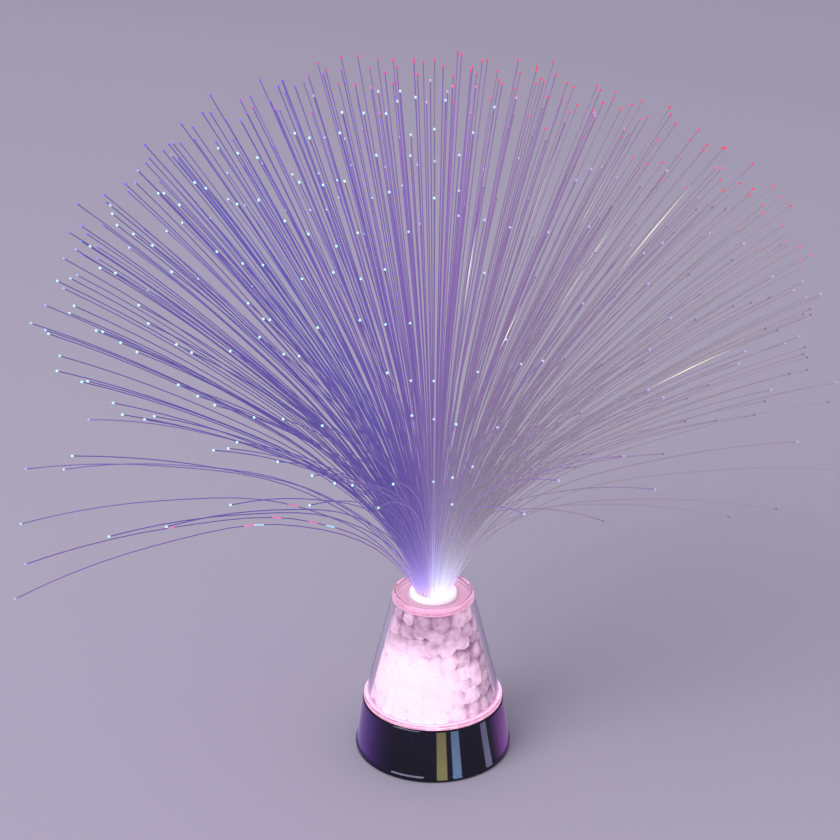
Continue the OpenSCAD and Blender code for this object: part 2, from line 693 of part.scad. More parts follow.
// Clear tube that keeps the chips off the light path
module light_tube() color([0.9, 0.9, 1, 0.35]) ring(tube_bore_r, tube_r, floor_top, dish_under);

// ---- Crystal chips ----

// A chip is a cell of a grid of rings, sectors and layers, cut across all its corners. Its 12 points lie
// on the cell's 12 edges, each at its own place along the edge, so chips never meet.
function wander(n) = chip_wander[n % len(chip_wander)];
function layer_z(k) = chips_low_z + (chips_high_z - chips_low_z) * k / chip_layers;
function chips_wall_r(z) = cone_in_r(z) - seat_gap;
function ring_count(k) = max(1, round((chips_wall_r(layer_z(k + 0.5)) - tube_r) / chip));
function ring_share(k, m) = m / ring_count(k);
function sector_count(k, m) =
    floor(2 * PI * (tube_r + (chips_wall_r(layer_z(k + 0.5)) - tube_r) * ring_share(k, m + 0.5)) / chip);
// Radius of a ring's border at a height, held off the tube by as much as a chip's flat side comes in
function border_r(k, m, z) =
    let (tube_side_r = (tube_r + seat_gap) / cos(180 / sector_count(k, 0)))
    tube_side_r + (chips_wall_r(z) - tube_side_r) * ring_share(k, m);
function border_angle(k, m, s) =
    let (n = sector_count(k, m), j = s % n)
    360 * (s + 0.5 * k + chip_shift * wander(97 * k + 31 * m + 7 * j)) / n;
// Height of the border under layer k at an angle: it rises and dips, but not at the floor and the dish
function border_z(k, t) =
    layer_z(k) + (layer_z(1) - layer_z(0)) * layer_dip * sin(2 * t + 110 * k)
    * min(1, k, chip_layers - k);
// A cell's corner: a, b and c are 0 or 1 along the radius, round the ring and up
function corner(k, m, s, a, b, c) =
    let (t = border_angle(k, m, s + b), z = border_z(k + c, t), r = border_r(k, m + a, z))
    [r * cos(t), r * sin(t), z];
function on_edge(p, q, n) = p + (q - p) * (0.5 + chip_scatter * wander(n));
function chip_points(k, m, s) =
    let (n = 12 * (s + 40 * m + 130 * k),
         raw = [for (c = [0, 1], b = [0, 1])
                    on_edge(corner(k, m, s, 0, b, c), corner(k, m, s, 1, b, c), n + b + 2 * c),
                for (c = [0, 1], a = [0, 1])
                    on_edge(corner(k, m, s, a, 0, c), corner(k, m, s, a, 1, c), n + 4 + a + 2 * c),
                for (b = [0, 1], a = [0, 1])
                    on_edge(corner(k, m, s, a, b, 0), corner(k, m, s, a, b, 1), n + 8 + a + 2 * b)],
         middle = [for (i = [0:2]) (max([for (p = raw) p[i]]) + min([for (p = raw) p[i]])) / 2])
    [for (p = raw) middle + (p - middle) * (1 - chip_gap / chip)];

// Points 0-3 lie on the radial edges, 4-7 on the edges round the ring and 8-11 on the upright edges.
function radial(b, c) = b + 2 * c;
function round_edge(a, c) = 4 + a + 2 * c;
function upright(a, b) = 8 + a + 2 * b;
// Eight triangles where the corners were, then six sides, each of two triangles
chip_corners = [for (a = [0, 1], b = [0, 1], c = [0, 1])
    (a + b + c) % 2 == 1 ? [radial(b, c), upright(a, b), round_edge(a, c)]
                         : [radial(b, c), round_edge(a, c), upright(a, b)]];
chip_sides = [
    [round_edge(1, 0), upright(1, 0), round_edge(1, 1), upright(1, 1)],
    [round_edge(0, 0), upright(0, 1), round_edge(0, 1), upright(0, 0)],
    [upright(0, 1), radial(1, 0), upright(1, 1), radial(1, 1)],
    [upright(0, 0), radial(0, 1), upright(1, 0), radial(0, 0)],
    [radial(0, 1), round_edge(0, 1), radial(1, 1), round_edge(1, 1)],
    [radial(0, 0), round_edge(1, 0), radial(1, 0), round_edge(0, 0)]];
chip_faces = concat(chip_corners, [for (q = chip_sides, h = [1, 2]) [q[0], q[h], q[h + 1]]]);

// All chips of the layers from first to last
module chips(first, last) {
    cells = [for (k = [first:last], m = [0:ring_count(k) - 1], s = [0:sector_count(k, m) - 1]) [k, m, s]];
    points = [for (c = cells) each chip_points(c[0], c[1], c[2])];
    faces = [for (i = [0:len(cells) - 1], f = chip_faces) [for (v = f) v + 12 * i]];
    polyhedron(points, faces);
}
module crystals_lower() color([1, 0.78, 0.93, 0.7]) chips(0, middle_layer - 1);
module crystals_middle() color([0.97, 0.75, 0.95, 0.7]) chips(middle_layer, upper_layer - 1);
module crystals_upper() color([0.85, 0.7, 0.93, 0.7]) chips(upper_layer, chip_layers - 1);

// ---- Socket, plug and fibres ----

// Clear seat in the dish: flange, sleeve inside the light tube, and a ledge under the plug
module fibre_socket() color([0.93, 0.9, 1, 0.5]) rotate_extrude() polygon([
    [socket_bore_r, plug_seat_z], [socket_flange_r, plug_seat_z], [socket_flange_r, dish_z],
    [socket_r, dish_z], [socket_r, socket_foot_z], [socket_bore_r - socket_ledge, socket_foot_z],
    [socket_bore_r - socket_ledge, socket_foot_z + ledge_t], [socket_bore_r, socket_foot_z + ledge_t]]);

// Plug: sleeve round the bundle, with the head that shows as a white ring in the dish
module fibre_plug() color([0.96, 0.94, 1]) rotate_extrude() polygon([
    [plug_bore_r, plug_foot_z], [plug_r - 0.3, plug_foot_z], [plug_r, plug_foot_z + 0.8],
    [plug_r, plug_seat_z], [plug_head_r, plug_seat_z],
    [plug_head_r, plug_seat_z + plug_head_h - 0.5],
    [plug_head_r - 0.5, plug_seat_z + plug_head_h], [plug_bore_r, plug_seat_z + plug_head_h]]);

// The bundle's top is a disc of triangles: ring k has 6k points, at k steps from the middle. Every fibre
// grows out of one triangle, so a group of fibres and its slice of the bundle are one closed skin.
function ring_start(k, first) =
    k == first ? 0 : (first == 0 ? 1 : 0) + 3 * (k * (k - 1) - first * (first - 1));
function ring_size(k) = max(1, 6 * k);
function bundle_point(k, j, r) = [r * cos(360 * j / ring_size(k)), r * sin(360 * j / ring_size(k))];

// Two of every three triangles of a ring carry a fibre, and every second one of the outermost ring
function carries_fibre(k, j) = k < fibre_rings ? (j + k) % 3 != 2 : j % 2 == 0;

// Share of the full hang that a stray has at an angle: most on the low-X side, some on the other side
// and none in front and behind. w is the stray's own small difference.
function stray_share(angle, w) = pow(cos(angle), 2) * (0.7 - 0.3 * cos(angle)) * (0.55 + 0.45 * w);
// Lean at the tip: it grows ring by ring to the dome's edge, and the outermost ring holds the strays
function tip_lean(k, j, w) = k < fibre_rings
    ? dome_lean * (k - 0.5 + ring_wander * w) / (fibre_rings - 1)
    : dome_lean + stray_hang * stray_share(360 * (j + 0.5) / ring_size(k), w);
// Length, cut shorter towards the edge
function fibre_length(k, w) = fibre_len * (1 - edge_trim * pow(k / fibre_rings, 3)) + fibre_len_spread * w;

// Lean of a fibre at a share t of its length, from the lean at its tip: its own weight bends it most
// near its root, and it is almost straight at its tip
function fibre_lean(lean, t) = lean * (root_share + (1 - root_share) * (1 - pow(1 - t, bend_early)));
// Share of a fibre's length at the end of its piece n: the pieces are shorter where it bends more
function piece_end(n) = pow(n / fibre_pieces, 1.4);
// Way out and way up that a fibre has gone after the first n of its pieces
function fibre_reach(lean, length, n) =
    n == 0 ? [0, 0] :
    let (low = piece_end(n - 1), high = piece_end(n), a = fibre_lean(lean, (low + high) / 2))
    fibre_reach(lean, length, n - 1) + length * (high - low) * [sin(a), cos(a)];

// Three points across a fibre, after n pieces, from the triangle that it grows from
function fibre_section(roots, lean, length, n) =
    let (root = (roots[0] + roots[1] + roots[2]) / 3,
         out = root / norm(root),
         across = [-out[1], out[0]],
         reach = fibre_reach(lean, length, n),
         a = fibre_lean(lean, piece_end(n)))
    [for (p = roots)
        let (d = (p - root) * fibre_thin,
             flat = root + out * (reach[0] + (d * out) * cos(a)) + across * (d * across))
        [flat[0], flat[1], bundle_top_z + reach[1] - (d * out) * sin(a)]];

// Fibres and bundle slice between two rings of the bundle
module fibre_group(first, last) {
    // Top points of the slice; the inner wall stands a little out from the slice inside it
    top = [for (k = [first:last], j = [0:ring_size(k) - 1])
        let (p = bundle_point(k, j, k * ring_step + (k == first && k > 0 ? slice_gap : 0)))
        [p[0], p[1], bundle_top_z]];
    inner_n = first == 0 ? 0 : ring_size(first);
    outer_n = ring_size(last);
    outer_at = len(top) - outer_n;
    // Triangles whose long side lies on the outer ring, each as its three top points, and the others
    outward = [for (k = [first + 1:last], s = [0:5], j = [0:k - 1])
        let (a = s * k + j, b = s * (k - 1) + j)
        [ring_start(k - 1, first) + b % ring_size(k - 1), ring_start(k, first) + a % ring_size(k),
         ring_start(k, first) + (a + 1) % ring_size(k), k, a]];
    inward = [for (k = [max(first + 1, 2):last], s = [0:5], j = [0:k - 2])
        let (a = s * k + j + 1, b = s * (k - 1) + j)
        [ring_start(k - 1, first) + b % ring_size(k - 1), ring_start(k, first) + a % ring_size(k),
         ring_start(k - 1, first) + (b + 1) % ring_size(k - 1)]];
    roots = [for (t = outward) if (carries_fibre(t[3], t[4])) t];
    plain = [for (t = outward) if (!carries_fibre(t[3], t[4])) t];
    tubes = [for (t = roots)
        let (k = t[3], number = 3 * k * (k - 1) + t[4],
             lean = tip_lean(k, t[4], fibre_wander[number]),
             length = fibre_length(k, fibre_wander[len(fibre_wander) - 1 - number]),
             base = [for (v = [0:2]) let (p = top[t[v]]) [p[0], p[1]]])
        for (n = [1:fibre_pieces]) each fibre_section(base, lean, length, n)];
    foot_at = len(top) + len(tubes);
    foot = [for (j = [0:inner_n - 1]) [top[j][0], top[j][1], plug_foot_z],
            for (j = [0:outer_n - 1]) [top[outer_at + j][0], top[outer_at + j][1], plug_foot_z]];
    function tube_vertex(i, n, v) =
        n == 0 ? roots[i][v] : len(top) + 3 * (fibre_pieces * i + n - 1) + v;
    faces = [
        for (t = plain) [t[0], t[2], t[1]],
        for (t = inward) [t[0], t[2], t[1]],
        for (i = [0:len(roots) - 1], n = [0:fibre_pieces - 1], v = [0:2], h = [0, 1])
            let (w = (v + 1) % 3)
            h == 0 ? [tube_vertex(i, n, v), tube_vertex(i, n + 1, v), tube_vertex(i, n + 1, w)]
                   : [tube_vertex(i, n, v), tube_vertex(i, n + 1, w), tube_vertex(i, n, w)],
        for (i = [0:len(roots) - 1]) [for (v = [0, 2, 1]) tube_vertex(i, fibre_pieces, v)],
        for (j = [0:outer_n - 1], h = [0, 1])
            let (a = outer_at + j, b = outer_at + (j + 1) % outer_n, c = foot_at + inner_n + j,
                 d = foot_at + inner_n + (j + 1) % outer_n)
            h == 0 ? [a, b, d] : [a, d, c],
        if (inner_n > 0) for (j = [0:inner_n - 1], h = [0, 1])
            let (b = (j + 1) % inner_n, c = foot_at + j, d = foot_at + b)
            h == 0 ? [j, d, b] : [j, c, d],
        for (f = inner_n == 0 ? foot_disc(outer_n) : foot_ring(first, last)) [for (v = f) v + foot_at]];
    polyhedron(concat(top, tubes, foot), faces);
}
// Underside of a slice: a fan for the middle one, and a band between its two rings for the others
function foot_disc(n) = [for (j = [1:n - 2]) [0, j, j + 1]];
function foot_ring(first, last) =
    let (n = 6 * first, m = 6 * last)
    [for (j = [0:m - 1])
        let (a = floor(j * n / m), b = (j + 1) % m) [a % n, n + j, n + b],
     for (j = [0:n - 1])
        let (o = ceil((j + 1) * m / n)) [j, n + o % m, (j + 1) % n]];

module fibres_inner() color([0.9, 0.55, 0.95]) fibre_group(0, middle_ring);
module fibres_middle() color([0.8, 0.5, 0.95]) fibre_group(middle_ring, outer_ring);
module fibres_outer() color([0.6, 0.5, 0.98]) fibre_group(outer_ring, fibre_rings);

base_shell();
bottom_cover();
cover_screws();
rubber_feet();
battery_door();
battery(0);  // battery_1
battery(1);  // battery_2
battery(2);  // battery_3
contact_plates();
contact_springs();
led_board();
board_screws();
centre_led();
side_leds();
reflector_cup();
control_chip();
resistors();
capacitor();
switch_body();
switch_knob();
red_wire();
black_wire();
switch_wire();
cone_floor();
crystal_cone();
light_tube();
crystals_lower();
crystals_middle();
crystals_upper();
fibre_socket();
fibre_plug();
fibres_inner();
fibres_middle();
fibres_outer();
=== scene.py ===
import math
import random

import bmesh
import bpy
from mathutils import Matrix, Vector
from mathutils.noise import fractal


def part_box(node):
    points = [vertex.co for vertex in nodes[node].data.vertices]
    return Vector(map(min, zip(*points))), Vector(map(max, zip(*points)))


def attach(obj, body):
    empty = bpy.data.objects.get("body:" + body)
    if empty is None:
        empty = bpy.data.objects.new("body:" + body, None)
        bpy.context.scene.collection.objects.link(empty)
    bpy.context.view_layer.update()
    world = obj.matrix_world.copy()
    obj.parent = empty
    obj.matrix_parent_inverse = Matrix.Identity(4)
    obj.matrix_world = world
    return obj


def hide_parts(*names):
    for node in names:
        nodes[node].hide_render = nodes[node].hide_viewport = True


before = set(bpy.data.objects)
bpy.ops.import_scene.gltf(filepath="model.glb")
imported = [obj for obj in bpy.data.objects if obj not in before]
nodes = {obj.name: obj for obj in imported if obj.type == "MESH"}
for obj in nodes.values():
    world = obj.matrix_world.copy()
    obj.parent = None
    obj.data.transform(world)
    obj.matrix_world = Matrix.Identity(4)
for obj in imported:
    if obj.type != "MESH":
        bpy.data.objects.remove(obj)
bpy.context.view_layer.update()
mm = 0.001

# ---- Table, light and camera ----
# A plain pale lilac-grey table top that runs out past the view, and is clear when seen from below.
# The room behind it has the same colour, so that the table has no edge in any view.
TABLE_COLOUR = (0.40, 0.37, 0.46, 1)
TABLE_REACH = 6.0


def plain_material(name, **sockets):
    """A material with one Principled shader, whose plain sockets are set by name."""
    material = bpy.data.materials.new(name)
    material.use_nodes = True
    shader = material.node_tree.nodes["Principled BSDF"]
    for socket, value in sockets.items():
        shader.inputs[socket.replace("_", " ")].default_value = value
    return material, material.node_tree, shader


def mesh_piece(name, points, faces, material, smooth=True):
    """A mesh object in the scene, in the lamp's own frame."""
    mesh = bpy.data.meshes.new(name)
    mesh.from_pydata(points, [], faces)
    mesh.polygons.foreach_set("use_smooth", [smooth] * len(mesh.polygons))
    mesh.materials.append(material)
    piece = bpy.data.objects.new(name, mesh)
    bpy.context.scene.collection.objects.link(piece)
    return piece


table_finish, tree, table_shader = plain_material(
    "table_finish", Base_Color=TABLE_COLOUR, Roughness=0.6, Specular_IOR_Level=0.0
)
table_corners = [(x * TABLE_REACH, y * TABLE_REACH, 0) for x, y in ((-1, -1), (1, -1), (1, 1), (-1, 1))]
table_side = tree.nodes.new("ShaderNodeNewGeometry")
table_clear = tree.nodes.new("ShaderNodeBsdfTransparent")
table_choice = tree.nodes.new("ShaderNodeMixShader")
tree.links.new(table_side.outputs["Backfacing"], table_choice.inputs["Fac"])
tree.links.new(table_shader.outputs[0], table_choice.inputs[1])
tree.links.new(table_clear.outputs[0], table_choice.inputs[2])
tree.links.new(table_choice.outputs[0], tree.nodes["Material Output"].inputs["Surface"])
table_top = mesh_piece("table_top", table_corners, [(0, 1, 2, 3)], table_finish, smooth=False)
table_top.visible_diffuse = False

# The room: rays that reach the eye, straight or by way of metal or clear plastic, see the table's
# own colour, and all others get a plain even light.
ROOM_LIGHT = 0.75

room = bpy.data.worlds.new("room")
room.use_nodes = True
bpy.context.scene.world = room
room_nodes = room.node_tree.nodes
room_links = room.node_tree.links
seen_room = room_nodes.new("ShaderNodeBackground")
seen_room.inputs["Color"].default_value = TABLE_COLOUR
room_fill = room_nodes["Background"]
room_fill.inputs["Color"].default_value = (0.93, 0.91, 1, 1)
room_fill.inputs["Strength"].default_value = ROOM_LIGHT
ray = room_nodes.new("ShaderNodeLightPath")
eye_or_metal = room_nodes.new("ShaderNodeMath")
eye_or_metal.operation = "MAXIMUM"
eye_or_clear = room_nodes.new("ShaderNodeMath")
eye_or_clear.operation = "MAXIMUM"
room_choice = room_nodes.new("ShaderNodeMixShader")
room_links.new(ray.outputs["Is Camera Ray"], eye_or_metal.inputs[0])
room_links.new(ray.outputs["Is Glossy Ray"], eye_or_metal.inputs[1])
room_links.new(eye_or_metal.outputs[0], eye_or_clear.inputs[0])
room_links.new(ray.outputs["Is Transmission Ray"], eye_or_clear.inputs[1])
room_links.new(eye_or_clear.outputs[0], room_choice.inputs["Fac"])
room_links.new(room_fill.outputs[0], room_choice.inputs[1])
room_links.new(seen_room.outputs[0], room_choice.inputs[2])
room_links.new(room_choice.outputs[0], room_nodes["World Output"].inputs["Surface"])


def soft_light(name, place, aim, width, height, power, colour):
    """A rectangular studio light at place, turned towards aim."""
    light = bpy.data.lights.new(name, "AREA")
    light.shape = "RECTANGLE"
    light.size = width
    light.size_y = height
    light.energy = power
    light.color = colour
    lamp = bpy.data.objects.new(name, light)
    lamp.location = place
    lamp.rotation_euler = (Vector(aim) - Vector(place)).to_track_quat("-Z", "Y").to_euler()
    lamp.visible_camera = False
    bpy.context.scene.collection.objects.link(lamp)


# One big soft light high on the left, aimed at the lamp's middle.
KEY_PLACE, KEY_AIM = (-1.3, -1.2, 1.9), (0, 0, 0.15)
KEY_SIDE = 1.6
KEY_POWER = 38
soft_light("key_light", KEY_PLACE, KEY_AIM, KEY_SIDE, KEY_SIDE, KEY_POWER, (1, 0.97, 0.98))

# The drum mirrors what stands round it. A band of light stands close round it that only gloss picks
# up: it draws the warm, cool and grey upright streaks on the drum's front and the violet on its flanks.
# Headings are in degrees from +X. A fade is a row of headings with the strength of the violet there.
BAND_REACH = 40 * mm
BAND_HEIGHT = 28 * mm
BAND_FOOT, BAND_TOP = 1.15, 0.75
STREAK_SIDE = 0.6
WARM, COOL, GREY = (4.4, 4.2, 1.1), (2.6, 4.2, 5.2), (2.3, 2.3, 2.9)
STREAKS = ((-87, -78, WARM), (-74, -66, COOL), (-43, -35, GREY))
VIOLET_LEFT, VIOLET_RIGHT = (1.3, 0.45, 3.2), (1.9, 0.45, 2.6)
LEFT_FADE = ((-180, 0.16), (-168, 0.32), (-157, 0.42), (-147, 0.28), (-137, 0.1), (-127, 0.0))
RIGHT_FADE = ((-33, 0.0), (-26, 0.25), (-18, 0.45), (-10, 0.36), (3, 0.16), (30, 0.06), (90, 0.04))
BACK_FADE = ((150, 0.06), (180, 0.16))

band_stops = [(heading, [c * strength for c in VIOLET_LEFT]) for heading, strength in LEFT_FADE]
for low, high, colour in STREAKS:
    band_stops += [(low, (0, 0, 0)), (low + STREAK_SIDE, colour)]
    band_stops += [(high - STREAK_SIDE, colour), (high, (0, 0, 0))]
band_stops += [(heading, [c * strength for c in VIOLET_RIGHT]) for heading, strength in RIGHT_FADE]
band_stops += [(heading, [c * strength for c in VIOLET_LEFT]) for heading, strength in BACK_FADE]

band_points, band_glow = [], []
for heading, colour in band_stops:
    turn = math.radians(heading)
    for height, strength in ((0, BAND_FOOT), (BAND_HEIGHT, BAND_TOP)):
        band_points.append((BAND_REACH * math.cos(turn), BAND_REACH * math.sin(turn), height))
        band_glow += [*(c * strength for c in colour), 1.0]
band_faces = [(low, low + 1, low + 3, low + 2) for low in range(0, len(band_points) - 2, 2)]

band_light = bpy.data.materials.new("band_light")
band_light.use_nodes = True
band_light.node_tree.nodes.clear()
band_light.cycles.emission_sampling = "NONE"
band_nodes = band_light.node_tree.nodes
band_links = band_light.node_tree.links
band_colour = band_nodes.new("ShaderNodeAttribute")
band_colour.attribute_name = "glow"
band_shine = band_nodes.new("ShaderNodeEmission")
band_clear = band_nodes.new("ShaderNodeBsdfTransparent")
band_both = band_nodes.new("ShaderNodeAddShader")
band_output = band_nodes.new("ShaderNodeOutputMaterial")
band_links.new(band_colour.outputs["Color"], band_shine.inputs["Color"])
band_links.new(band_shine.outputs[0], band_both.inputs[0])
band_links.new(band_clear.outputs[0], band_both.inputs[1])
band_links.new(band_both.outputs[0], band_output.inputs["Surface"])

band = mesh_piece("light_band", band_points, band_faces, band_light, smooth=False)
band.data.attributes.new("glow", "FLOAT_COLOR", "POINT").data.foreach_set("color", band_glow)
band.visible_camera = False
band.visible_diffuse = False
band.visible_transmission = False
band.visible_shadow = False

# The camera looks down on the lamp from the front with a long lens.
CAMERA_PLACE = (0, -1.028, 0.652)
CAMERA_PITCH = math.radians(65)
CAMERA_YAW = 0.0061

camera = bpy.data.objects.new("camera", bpy.data.cameras.new("camera"))
camera.location = CAMERA_PLACE
camera.rotation_euler = (CAMERA_PITCH, 0, CAMERA_YAW)
camera.data.lens = 106.1
camera.data.sensor_width = 36
camera.data.clip_start = 0.05
bpy.context.scene.collection.objects.link(camera)
bpy.context.scene.camera = camera
bpy.context.scene.view_settings.view_transform = "Standard"


# ---- Drum ----
# The base is a moulded plastic drum with a dark mirror chrome plating. It is turned smooth, and only
# handling has left faint smudges and hairline rubs on it.
CHROME_COLOUR = (0.040, 0.038, 0.055, 1)


def effect_group(name, takes, gives):
    """A shader group with its named inputs and outputs, and the two nodes that carry them inside it."""
    group = bpy.data.node_groups.new(name, "ShaderNodeTree")
    for title, kind, value in takes:
        socket = group.interface.new_socket(title, in_out="INPUT", socket_type="NodeSocket" + kind)
        socket.default_value = value
    for title, kind in gives:
        group.interface.new_socket(title, in_out="OUTPUT", socket_type="NodeSocket" + kind)
    return group, group.nodes.new("NodeGroupInput"), group.nodes.new("NodeGroupOutput")


def add(tree, kind, wires=(), **settings):
    """A node in a tree, with its settings, and with its inputs wired or set by name or number."""
    node = tree.nodes.new("ShaderNode" + kind)
    for setting, value in settings.items():
        setattr(node, setting, value)
    for socket, value in dict(wires).items():
        if isinstance(value, bpy.types.NodeSocket):
            tree.links.new(value, node.inputs[socket])
        else:
            node.inputs[socket].default_value = value
    return node


def maths(tree, operation, *values):
    """The output of a Math node."""
    return add(tree, "Math", enumerate(values), operation=operation).outputs[0]


def spread(tree, value, low, high, new_low=0.0, new_high=1.0):
    """A value's range from low to high brought smoothly to a new range, and held at its ends."""
    wires = {"Value": value, "From Min": low, "From Max": high, "To Min": new_low, "To Max": new_high}
    return add(tree, "MapRange", wires, interpolation_type="SMOOTHSTEP").outputs["Result"]


def noise(tree, where, scale, detail=2.0, roughness=0.5):
    """A noise value at a place."""
    wires = {"Vector": where, "Scale": scale, "Detail": detail, "Roughness": roughness}
    return add(tree, "TexNoise", wires).outputs["Fac"]


def mixed(tree, share, first, second):
    """Two colours mixed by a share."""
    node = add(tree, "Mix", data_type="RGBA")
    for socket, value in (
        (node.inputs["Factor"], share),
        (node.inputs[6], first),
        (node.inputs[7], second),
    ):
        if isinstance(value, bpy.types.NodeSocket):
            tree.links.new(value, socket)
        else:
            socket.default_value = value
    return node.outputs[2]


def place_of(tree):
    """Where on the lamp a point is, in metres."""
    return add(tree, "TexCoord").outputs["Object"]


def along_axis(tree, axis, where=None):
    """One of a point's three coordinates on the lamp."""
    return add(tree, "SeparateXYZ", {"Vector": where or place_of(tree)}).outputs[axis]


def placed(tree, group, **values):
    """A shared effect placed in a material, with the material's own values."""
    node = tree.nodes.new("ShaderNodeGroup")
    node.node_tree = group
    for title, value in values.items():
        socket = node.inputs[title.replace("_", " ")]
        if isinstance(value, bpy.types.NodeSocket):
            tree.links.new(value, socket)
        else:
            socket.default_value = value
    return node


def bumped(tree, shader, height, distance, strength=1.0):
    """The height value drives the shader's normal."""
    bump = add(tree, "Bump", {"Height": height, "Distance": distance, "Strength": strength})
    tree.links.new(bump.outputs["Normal"], shader.inputs["Normal"])


def dressed(material, *names):
    """CAD nodes take a material."""
    for name in names:
        nodes[name].data.materials.clear()
        nodes[name].data.materials.append(material)


# Smudges and hairline rubs, shared by every glossy finish on the lamp
handling, takes, gives = effect_group(
    "handling_marks",
    [("Smooth", "Float", 0.04), ("Smudged", "Float", 0.14), ("Size", "Float", 90.0)],
    [("Roughness", "Float"), ("Rub", "Float")],
)
spot = place_of(handling)
cloud = noise(handling, spot, takes.outputs["Size"], 3)
stretched = add(handling, "Mapping", {"Vector": spot, "Scale": (900, 900, 30)}).outputs["Vector"]
rub = spread(handling, noise(handling, stretched, 1.0, 1), 0.62, 0.8)
clouded = add(
    handling,
    "MapRange",
    {"Value": cloud, "From Min": 0.42, "From Max": 0.75,
     "To Min": takes.outputs["Smooth"], "To Max": takes.outputs["Smudged"]},
).outputs["Result"]
handling.links.new(maths(handling, "ADD", clouded, maths(handling, "MULTIPLY", rub, 0.03)),
                   gives.inputs["Roughness"])
handling.links.new(rub, gives.inputs["Rub"])

chrome, tree, shader = plain_material("dark_chrome", Base_Color=CHROME_COLOUR, Metallic=1.0)
marks = placed(tree, handling, Smooth=0.03, Smudged=0.10, Size=60.0)
tree.links.new(marks.outputs["Roughness"], shader.inputs["Roughness"])
plating_colour = mixed(tree, marks.outputs["Rub"], CHROME_COLOUR, (0.055, 0.054, 0.07, 1))
tree.links.new(plating_colour, shader.inputs["Base Color"])
dressed(chrome, "base_shell")


# ---- Bottom cover and battery door ----
# Black injection-moulded plastic. The tool was spark-eroded, which leaves a fine even grain, and the
# high spots are polished a little by handling.
BLACK_PLASTIC = (0.018, 0.018, 0.021, 1)
BLACK_WORN = (0.038, 0.038, 0.042, 1)

grain, takes, gives = effect_group(
    "moulded_grain",
    [("Size", "Float", 2200.0), ("Gloss", "Float", 0.35), ("Dull", "Float", 0.6)],
    [("Height", "Float"), ("Roughness", "Float"), ("Polish", "Float")],
)
spot = place_of(grain)
pits = add(grain, "TexVoronoi", {"Vector": spot, "Scale": takes.outputs["Size"]}).outputs["Distance"]
patches = noise(grain, spot, 120.0, 3)
grain.links.new(pits, gives.inputs["Height"])
gloss = add(
    grain,
    "MapRange",
    {"Value": patches, "From Min": 0.3, "From Max": 0.7,
     "To Min": takes.outputs["Gloss"], "To Max": takes.outputs["Dull"]},
).outputs["Result"]
grain.links.new(gloss, gives.inputs["Roughness"])
grain.links.new(spread(grain, patches, 0.62, 0.4), gives.inputs["Polish"])


def moulded_plastic(name, colour, worn, size=2200.0, gloss=0.35, dull=0.6, depth=0.00004):
    """A grained moulded plastic in its own colour, a little paler where it is polished."""
    material, tree, shader = plain_material(name, Base_Color=colour)
    texture = placed(tree, grain, Size=size, Gloss=gloss, Dull=dull)
    tree.links.new(texture.outputs["Roughness"], shader.inputs["Roughness"])
    shade = mixed(tree, texture.outputs["Polish"], colour, worn)
    tree.links.new(shade, shader.inputs["Base Color"])
    bumped(tree, shader, texture.outputs["Height"], depth, 0.5)
    return material


dressed(moulded_plastic("black_plastic", BLACK_PLASTIC, BLACK_WORN), "bottom_cover", "battery_door")


# ---- Feet ----
# Four stuck-on rubber pads, matt and slightly dusty, with the fine speckle of cut sheet rubber.
rubber, tree, shader = plain_material("foot_rubber", Roughness=0.85)
spot = place_of(tree)
speckle = noise(tree, spot, 1800.0, 3)
dust = spread(tree, noise(tree, spot, 160.0, 4), 0.5, 0.75)
rubber_shade = mixed(tree, speckle, (0.022, 0.022, 0.024, 1), (0.045, 0.045, 0.048, 1))
tree.links.new(mixed(tree, dust, rubber_shade, (0.10, 0.10, 0.10, 1)), shader.inputs["Base Color"])
bumped(tree, shader, speckle, 0.00005, 0.6)
dressed(rubber, "rubber_feet")


# ---- Screws ----
# Small cross-head screws of zinc-plated steel, with the turned rings of the header tool and a faint
# yellow passivation in patches.
steel, tree, shader = plain_material("zinc_steel", Metallic=1.0, Roughness=0.3)
spot = place_of(tree)
patches = noise(tree, spot, 700.0, 3)
stretched = add(tree, "Mapping", {"Vector": spot, "Scale": (400, 400, 4000)}).outputs["Vector"]
brushed = noise(tree, stretched, 1.0, 2)
zinc = mixed(tree, patches, (0.50, 0.50, 0.50, 1), (0.55, 0.52, 0.42, 1))
tree.links.new(zinc, shader.inputs["Base Color"])
tree.links.new(spread(tree, brushed, 0.3, 0.7, 0.22, 0.42), shader.inputs["Roughness"])
bumped(tree, shader, brushed, 0.00002, 0.5)
dressed(steel, "cover_screws", "board_screws")


# ---- Cells ----
# Three AAA cells: a steel can in a printed plastic jacket, here a plain two-tone wrap with no label.
# The ends are bare plated steel, and the positive end has its raised button.
CELL_DARK = (0.020, 0.035, 0.075, 1)
CELL_PALE = (0.45, 0.47, 0.50, 1)
CELL_STEEL = (0.62, 0.61, 0.58, 1)
CELL_JACKET_HALF = 20.9 * mm
CELL_BAND = 8 * mm
CELL_SIGNS = {"battery_1": 1, "battery_2": -1, "battery_3": 1}

for name, sign in CELL_SIGNS.items():
    low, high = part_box(name)
    middle = (low.x + high.x) / 2
    jacket, tree, shader = plain_material(name + "_jacket", Roughness=0.3)
    out = maths(tree, "SUBTRACT", along_axis(tree, "X"), middle)
    bare = maths(tree, "GREATER_THAN", maths(tree, "ABSOLUTE", out), CELL_JACKET_HALF)
    button_half = maths(tree, "GREATER_THAN", maths(tree, "MULTIPLY", out, sign), CELL_BAND)
    wrap = mixed(tree, button_half, CELL_DARK, CELL_PALE)
    marks = placed(tree, handling, Smooth=0.22, Smudged=0.4, Size=200.0)
    tree.links.new(mixed(tree, bare, wrap, CELL_STEEL), shader.inputs["Base Color"])
    tree.links.new(bare, shader.inputs["Metallic"])
    tree.links.new(marks.outputs["Roughness"], shader.inputs["Roughness"])
    dressed(jacket, name)


